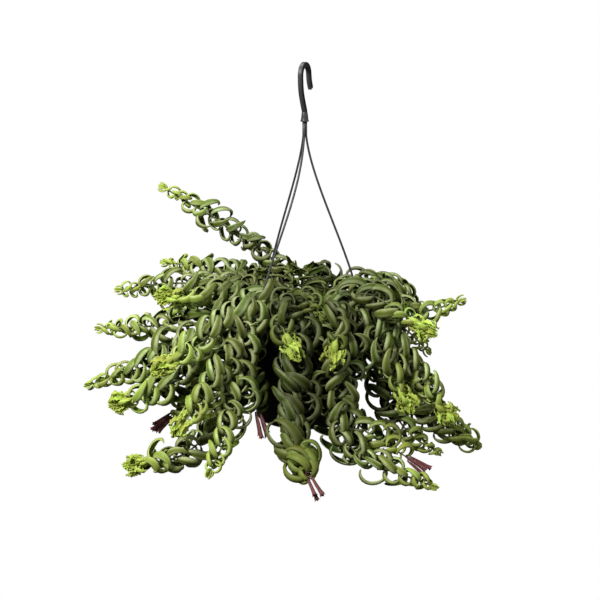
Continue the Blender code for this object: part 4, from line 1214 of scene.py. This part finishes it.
def make_hook(material):
    """The crook with a groove down each side, its corners eased, and the collar at its foot."""
    across = Vector((math.cos(HOOK_TURN), math.sin(HOOK_TURN), 0))
    normal = Vector((-math.sin(HOOK_TURN), math.cos(HOOK_TURN), 0))
    a, b = HOOK_THICKNESS / 2, HOOK_WIDTH / 2
    web, inner, ease = a - HOOK_FLANGE, b - HOOK_GROOVE, 0.00045
    quarter = [(a, 0.0), (a, b - ease), (a - ease, b), (web + ease, b), (web, b - ease),
               (web - 0.0001, inner), (0.0, inner)]
    section = quarter + [(-x, y) for x, y in reversed(quarter[:-1])]
    section += [(x, -y) for x, y in reversed(section[1:-1])]
    line = [across * p.x + Vector((0, 0, p.z)) for p in hook_path()]
    bm = bmesh.new()
    rings = []
    for i, point in enumerate(line):
        tangent = (line[min(i + 1, len(line) - 1)] - line[max(i - 1, 0)]).normalized()
        side = normal.cross(tangent)
        shrink = 0.86 if i in (0, len(line) - 1) else 1.0
        rings.append([bm.verts.new(point + (side * x + normal * y) * shrink) for x, y in section])
    for low, high in zip(rings, rings[1:]):
        for i in range(len(low)):
            j = (i + 1) % len(low)
            bm.faces.new((low[i], low[j], high[j], high[i]))
    bm.faces.new(rings[0])
    bm.faces.new(rings[-1])
    collar = turned(COLLAR, 40)
    mesh = bpy.data.meshes.new("collar")
    collar.to_mesh(mesh)
    collar.free()
    bm.from_mesh(mesh)
    hook = link_mesh("hanger_hook", bm, material, 42)
    dress(hook, "hook")


def bezier(a, b, c, d, t):
    s = 1 - t
    return a * s ** 3 + b * 3 * s * s * t + c * 3 * s * t * t + d * t ** 3


def make_strand(name, azimuth, twist, material):
    ledge_top = POT_BASE_Z + LEDGE_Z + LEDGE_THICKNESS
    ledge_bottom = POT_BASE_Z + LEDGE_Z
    outer = polar(azimuth, STRAND_CIRCLE, 0)
    line = [(polar(azimuth + twist, STRAND_BUNDLE, STRAND_TOP_Z), STRAND_RADIUS)]
    for i in range(45):
        t = i / 44
        radius = bezier(STRAND_BUNDLE, STRAND_BEND[0], STRAND_FALL[0], STRAND_CIRCLE, t)
        height = bezier(STRAND_SPLIT_Z, STRAND_BEND[1], STRAND_FALL[1], ledge_top + 0.004, t)
        line.append((polar(azimuth + twist * (1 - t) ** 2, radius, height), STRAND_RADIUS))
    anchor_top = ledge_bottom - GAP
    line.append((outer + Vector((0, 0, anchor_top)), STRAND_RADIUS))
    line.append((outer + Vector((0, 0, anchor_top - 0.0003)), ANCHOR_RADIUS * 0.95))
    line.append((outer + Vector((0, 0, anchor_top - 0.0010)), ANCHOR_RADIUS))
    line.append((outer + Vector((0, 0, anchor_top - ANCHOR_LENGTH)), ANCHOR_RADIUS * 0.7))
    shape = Shape()
    add_rod(shape, [tuple(p) for p, _ in line], [r for _, r in line], [(0, 0, 0, 0)] * len(line), 12,
            up=tuple(polar(azimuth + 90, 1, 0)))
    strand = shape.build(f"hanger_{name}", material)
    dress(strand, name)


# Foliage

def make_stem_rod(plan, pairs, stop, material):
    """The stem itself, a little thicker at each leaf pair."""
    count = max(8, round(stop / 0.0032))
    distances = [stop * i / count for i in range(count + 1)]
    line, radii, facts = [], [], []
    for along in distances:
        point, _, _ = plan.route.frame(along)
        swell = sum(math.exp(-((along - p.along) / 0.0016) ** 2) for p in pairs)
        line.append(tuple(point))
        slim = min(1.0, 0.40 + 0.60 * (plan.route.length - along) / 0.014)
        radii.append(plan.radius(along) * (0.86 + 0.22 * min(swell, 1.0)) * slim)
        share = along / plan.route.length
        facts.append((0, 0, min(1.0, max(0.0, share * 1.8 - 0.75)), 0))
    shape = Shape()
    add_rod(shape, line, radii, facts, STEM_SIDES)
    return shape.build(f"{plan.name}_rod", material)


# Width of a fine blade against the CAD leaf's
SLIM = 0.97
SLIM_RIGHT = 0.89

# The length of a stem's lime end, and how lime a leaf gets
YOUNG_LENGTH = 0.066
YOUNG_MOST = 0.85

# Further pairs, half way between the others: their size against those, the stems on which they grow even
# where there is no room, and those round a bunch of buds as (distance from the tip, turn, size)
MORE_SIZE = 0.82
MORE_TURN = 45
MORE_SIZES = {"right_low": 1.25, "right_under": 1.15, "front_low": 0.88}
DENSE_STEMS = ("front_low", "right_low")
ROUND_BUDS = ((0.0140, 20, 0.95), (0.0120, 65, 0.95), (0.0100, 110, 0.90), (0.0075, 30, 0.85),
              (0.0050, 75, 0.75), (0.0025, 0, 0.70), (0.0015, 50, 0.60))


def more_pairs(stem, plan, pairs):
    """Pairs half way between a stem's pairs, and round the foot of its buds."""
    last = plan.route.length - END_LENGTHS[stem.end] - NODE_HALF
    grow = MORE_SIZES.get(stem.name, MORE_SIZE)
    found = [Pair(p.along + INTERNODE / 2, p.angle + MORE_TURN, min(stem.size, p.size * grow), False)
             for p in pairs]
    found = [p for p in found if p.along < last]
    if stem.end == "buds":
        for distance, turn, size in ROUND_BUDS:
            found.append(Pair(plan.route.length - distance, plan.turn + turn, stem.size * size, False))
    return found


# Leaves round a plain stem's very end and in a tuft's heart, as (distance from the tip, turn in degrees,
# size, lean, curl, breadth)
TIP_PAIRS = ((0.0065, 5, 0.20, 30, -85, 2.0), (0.0045, 95, 0.17, 42, -80, 2.0),
             (0.0025, 185, 0.14, 54, -65, 1.9), (0.0010, 275, 0.10, 66, -45, 1.8))
TIP_YOUTH = 0.85
HEART_YOUTH = 0.92
HEART_FRILL = 0.0010
HEART_CURLS = (-112, 190, -70)
HEART_PAIRS = tuple((0.0170 - 0.0010 * i, 68 * i, 0.36 - 0.014 * i, 2 + 4.6 * i, HEART_CURLS[i % 3], 1.95)
                    for i in range(15))


def add_end_leaves(shape, plan, pairs, youth, frill):
    """Small young leaves closed round the end of a stem."""
    for distance, turn, size, lean, curl, breadth in pairs:
        for side in (0, 1):
            draw = random.Random(f"end {plan.name} {distance} {side}")
            root, tangent, out = side_root(plan, plan.route.length - distance,
                                           turn + 180 * side + draw.uniform(-14, 14))
            leaf = Leaf(root, tangent, out, size * draw.uniform(0.85, 1.15), lean + draw.uniform(-8, 8),
                        curl * draw.uniform(0.85, 1.15), 0.0, breadth, draw.uniform(-18, 18),
                        draw.uniform(-12, 12))
            add_fine_leaf(shape, leaf, youth, draw, frill)


def youth(distance):
    """How lime a leaf is, by its distance from the stem's tip."""
    return max(0.0, 1 - distance / YOUNG_LENGTH) ** 1.1 * YOUNG_MOST


def make_foliage(plan, slim):
    shape = Shape()
    for leaf, along in plan.leaves:
        draw = random.Random(f"fine {plan.name} {round(along * 1e6)} {round(leaf.lean * 1e3)}")
        add_fine_leaf(shape, leaf, youth(plan.route.length - along), draw, 0.0, slim)
    return shape


# A fine bud's tube: (distance along it, radius, how deep the five lobes are cut, shade towards the mouth)
BUD_OUTSIDE = ((0.0015, 0.00120, 0.0, 0.20), (0.0040, 0.00145, 0.0, 0.35), (0.0080, 0.00170, 0.0, 0.50),
               (0.0130, 0.00190, 0.0, 0.62), (0.0180, 0.00198, 0.0, 0.72), (0.0215, 0.00215, 0.02, 0.82),
               (0.0240, 0.00245, 0.06, 0.90), (0.0255, 0.00275, 0.14, 1.00), (0.0266, 0.00300, 0.30, 1.00))
BUD_INSIDE = ((0.0258, 0.00245, 0.12, 1.0), (0.0236, 0.00190, 0.02, 1.0), (0.0190, 0.00150, 0.0, 1.0),
              (0.0130, 0.00110, 0.0, 1.0))
BUD_NECK_STEPS = 5
BUD_SIDES = 20

# A lone bud on the stem's side, as (distance from the tip, turn in degrees)
SIDE_BUDS = {"front_low": (0.030, 150)}
BUD_HAIRS = 110


def add_fine_bud(shape, bud, draw, grown=1.0):
    """A calyx: a bent neck, a long tube and a flared dark mouth of five lobes, with short hairs on it."""
    start, heading, across, inward = (np.array(v) for v in bud_axis(bud))
    root, out = np.array(bud.root), np.array(bud.out)
    bow = draw.uniform(0.0002, 0.0011)
    lines, radii, lobes, shades = [], [], [], []
    neck = (root - out * 0.0006, root + out * BUD_NECK[0] * 0.85, start - heading * 0.0016, start)
    for i in range(BUD_NECK_STEPS):
        t = i / BUD_NECK_STEPS
        lines.append(bezier(*neck, t))
        radii.append(0.00085 + 0.00010 * t)
        lobes.append(0.0)
        shades.append(0.05 + 0.1 * t)
    for reach, radius, lobe, shade in BUD_OUTSIDE + BUD_INSIDE:
        lines.append(start + heading * reach * grown - inward * bow * (reach / 0.026) ** 2)
        radii.append(radius * (0.6 + 0.4 * grown))
        lobes.append(lobe)
        shades.append(shade)
    outside = BUD_NECK_STEPS + len(BUD_OUTSIDE)
    turn = np.linspace(0, 2 * math.pi, BUD_SIDES, endpoint=False)
    phase = draw.uniform(0, 6)
    rings, facts = [], []
    for k, (point, radius, lobe, shade) in enumerate(zip(lines, radii, lobes, shades)):
        wave = 0.5 + 0.5 * np.cos(5 * turn + phase)
        ribs = 1 + 0.035 * np.cos(5 * turn + phase) * (1 if BUD_NECK_STEPS <= k < outside else 0)
        ahead = lines[min(k + 1, outside - 1)] - lines[max(min(k, outside - 1) - 1, 0)]
        ahead = ahead / np.linalg.norm(ahead)
        side = across - ahead * across.dot(ahead)
        side /= np.linalg.norm(side)
        other = np.cross(ahead, side)
        reach = radius * ribs * (1 + lobe * (wave - 0.4))
        ring = point + side * (np.cos(turn) * reach)[:, None] + other * (np.sin(turn) * reach)[:, None]
        rings.append(ring + ahead * ((wave - 0.75) * lobe * 0.0052)[:, None])
        fact = (shade, 1.0 if k >= outside else 0.0, 0.0, draw.random())
        facts.append(np.broadcast_to(fact, (BUD_SIDES, 4)))
    shape.add_tube(np.array(rings), np.array(facts))
    roots, tips = [], []
    for _ in range(BUD_HAIRS):
        k = draw.uniform(4, outside - 2)
        low, share = int(k), k - int(k)
        j = draw.randrange(BUD_SIDES)
        spot = rings[low][j] * (1 - share) + rings[low + 1][j] * share
        middle = lines[low] * (1 - share) + lines[low + 1] * share
        away = (spot - middle) / np.linalg.norm(spot - middle)
        roots.append(spot - away * 0.0001)
        tips.append(spot + away * draw.uniform(0.0006, 0.0011) + heading * draw.uniform(0.0001, 0.0006))
    shape.add_hairs(roots, tips, 0.00006, (0.9, 0.0, 0.6, 0.5))


# A tuft's larger leaves: how broad, how lime and how wavy they are
TUFT_FINE_BREADTH = TUFT_BREADTH * 0.75
TUFT_YOUTH = 0.80
TUFT_FRILL = 0.0009

SIDE_BUD_SIZE = 0.8
STEM_ROLL = 37
STRANDS = ("strand_right", "strand_back_left", "strand_front_left")

# A stem takes the left look, painted as lit, where its tip is left of the first X, the right one, in
# painted shade, right of the second, and the middle one, in deeper painted shade, between them
LEFT_EDGE = -0.09
RIGHT_EDGE = 0.06

# The left, middle and right leaf looks are copies of one leaf with painted light and shade
Looks = namedtuple("Looks", "left middle right bark maroon")


def lay_out_plant():
    """Every stem with all that grows on it. What the CAD model holds comes first, then the other leaves."""
    solids = [tree_of(name) for name in ("pot", "hook", *STRANDS)]
    taken, tubes, plans = [], [], []
    for i, stem in enumerate(FRONT_STEMS + back_stems()):
        plan, kept, others, tube = main_stem(stem, taken, tubes, solids, STEM_ROLL * i)
        tubes.append(tube)
        plans.append((stem, plan, kept, others))
    solids.append(tree_of("soil"))

    crowd = Crowd()
    for tree in solids + tubes:
        crowd.add(tree)
    ends = {}
    for index, (stem, plan, _, _) in enumerate(plans, len(solids)):
        if stem.end == "tuft":
            ends[stem.name] = make_tuft_plan(stem, plan.route, plan.turn, crowd, index)
        if stem.end == "buds":
            ends[stem.name] = make_bud_plan(stem, plan.route, plan.turn, crowd)

    own_tubes = [plan.tube(0.0) for _, plan, _, _ in plans]
    for layer in range(3):
        for index, (stem, plan, kept, others) in enumerate(plans):
            pairs = (kept, others, more_pairs(stem, plan, kept + others))[layer]
            always = (False, True, stem.name in DENSE_STEMS)[layer]
            for pair in pairs:
                for side in (0, 1):
                    leaf = place_leaf(plan, pair.along, pair.angle, side, pair.size, own_tubes[index],
                                      crowd, len(solids) + index, always)
                    if leaf:
                        plan.leaves.append((leaf, pair.along))
                        crowd.add(leaf_tree(leaf, roots=True), *leaf_reach(leaf))
    return [(stem, plan, kept + others, ends.get(stem.name)) for stem, plan, kept, others in plans]


def make_tuft(stem, end, material):
    shape = Shape()
    for k, leaf in enumerate(end.leaves):
        draw = random.Random(f"tuft {stem.name} {k}")
        add_fine_leaf(shape, leaf._replace(breadth=TUFT_FINE_BREADTH), TUFT_YOUTH, draw, TUFT_FRILL)
    add_end_leaves(shape, end, HEART_PAIRS, HEART_YOUTH, HEART_FRILL)
    dress(shape.build(f"tuft_fine_{stem.name}", material), f"tuft_{stem.name}")


def make_buds(stem, end, material):
    shape = Shape()
    for k, bud in enumerate(end.buds):
        add_fine_bud(shape, bud, random.Random(f"bud {stem.name} {k}"))
    if stem.name in SIDE_BUDS:
        distance, turn = SIDE_BUDS[stem.name]
        bud = Bud(*side_root(end, end.route.length - distance, turn))
        add_fine_bud(shape, bud, random.Random(f"side bud {stem.name}"), SIDE_BUD_SIZE)
    dress(shape.build(f"buds_fine_{stem.name}", material), f"buds_{stem.name}")


def make_stem_pieces(stem, plan, pairs, end, looks):
    """The pieces of one stem: its leaves, its rod, and the tuft or the buds at its end."""
    tip = plan.route.points[-1]
    # The copy, with its painted light and shade, goes by where the stem's tip hangs
    material = looks.left if tip.x < LEFT_EDGE else looks.middle if tip.x < RIGHT_EDGE else looks.right
    shape = make_foliage(plan, SLIM_RIGHT if material is looks.right else SLIM)
    if stem.end in ("tip", "spike"):
        add_end_leaves(shape, plan, TIP_PAIRS, TIP_YOUTH, 0.0)
    dress(shape.build(f"leaves_{stem.name}", material), f"stem_{stem.name}")
    stop = plan.route.length - min(END_LENGTHS[stem.end], ROD_SHORT)
    dress(make_stem_rod(plan, pairs, stop, looks.bark))
    if stem.end == "tuft":
        # Tufts all take the left copy, painted as lit
        make_tuft(stem, end, looks.left)
    if stem.end == "buds":
        make_buds(stem, end, looks.maroon)


def main():
    make_camera()
    make_stage()

    pot_black = make_plastic_material("pot_black", (0.0085, 0.0085, 0.0105), (0.024, 0.022, 0.024),
                                      0.42, 520.0)
    hanger_grey = make_plastic_material("hanger_grey", (0.050, 0.052, 0.057), (0.090, 0.092, 0.098),
                                        0.36, 700.0)
    peat = make_peat_material()
    bark = make_stem_material()
    maroon = make_bud_material()
    # Copies of one leaf with painted light: lit on the left, in deep painted shade in the middle and in
    # lighter painted shade on the right
    leaf_light = make_leaf_material("leaf_light", 0.95)
    leaf_plain = make_leaf_material("leaf_plain", 0.42)
    leaf_dark = make_leaf_material("leaf_dark", 0.82)
    looks = Looks(leaf_light, leaf_plain, leaf_dark, bark, maroon)

    stems = lay_out_plant()
    make_pot(pot_black)
    make_soil(peat)
    make_hook(hanger_grey)
    for name, azimuth, twist in zip(STRANDS, STRAND_AZIMUTHS, STRAND_TWISTS):
        make_strand(name, azimuth, twist, hanger_grey)
    for stem, plan, pairs, end in stems:
        make_stem_pieces(stem, plan, pairs, end, looks)


main()
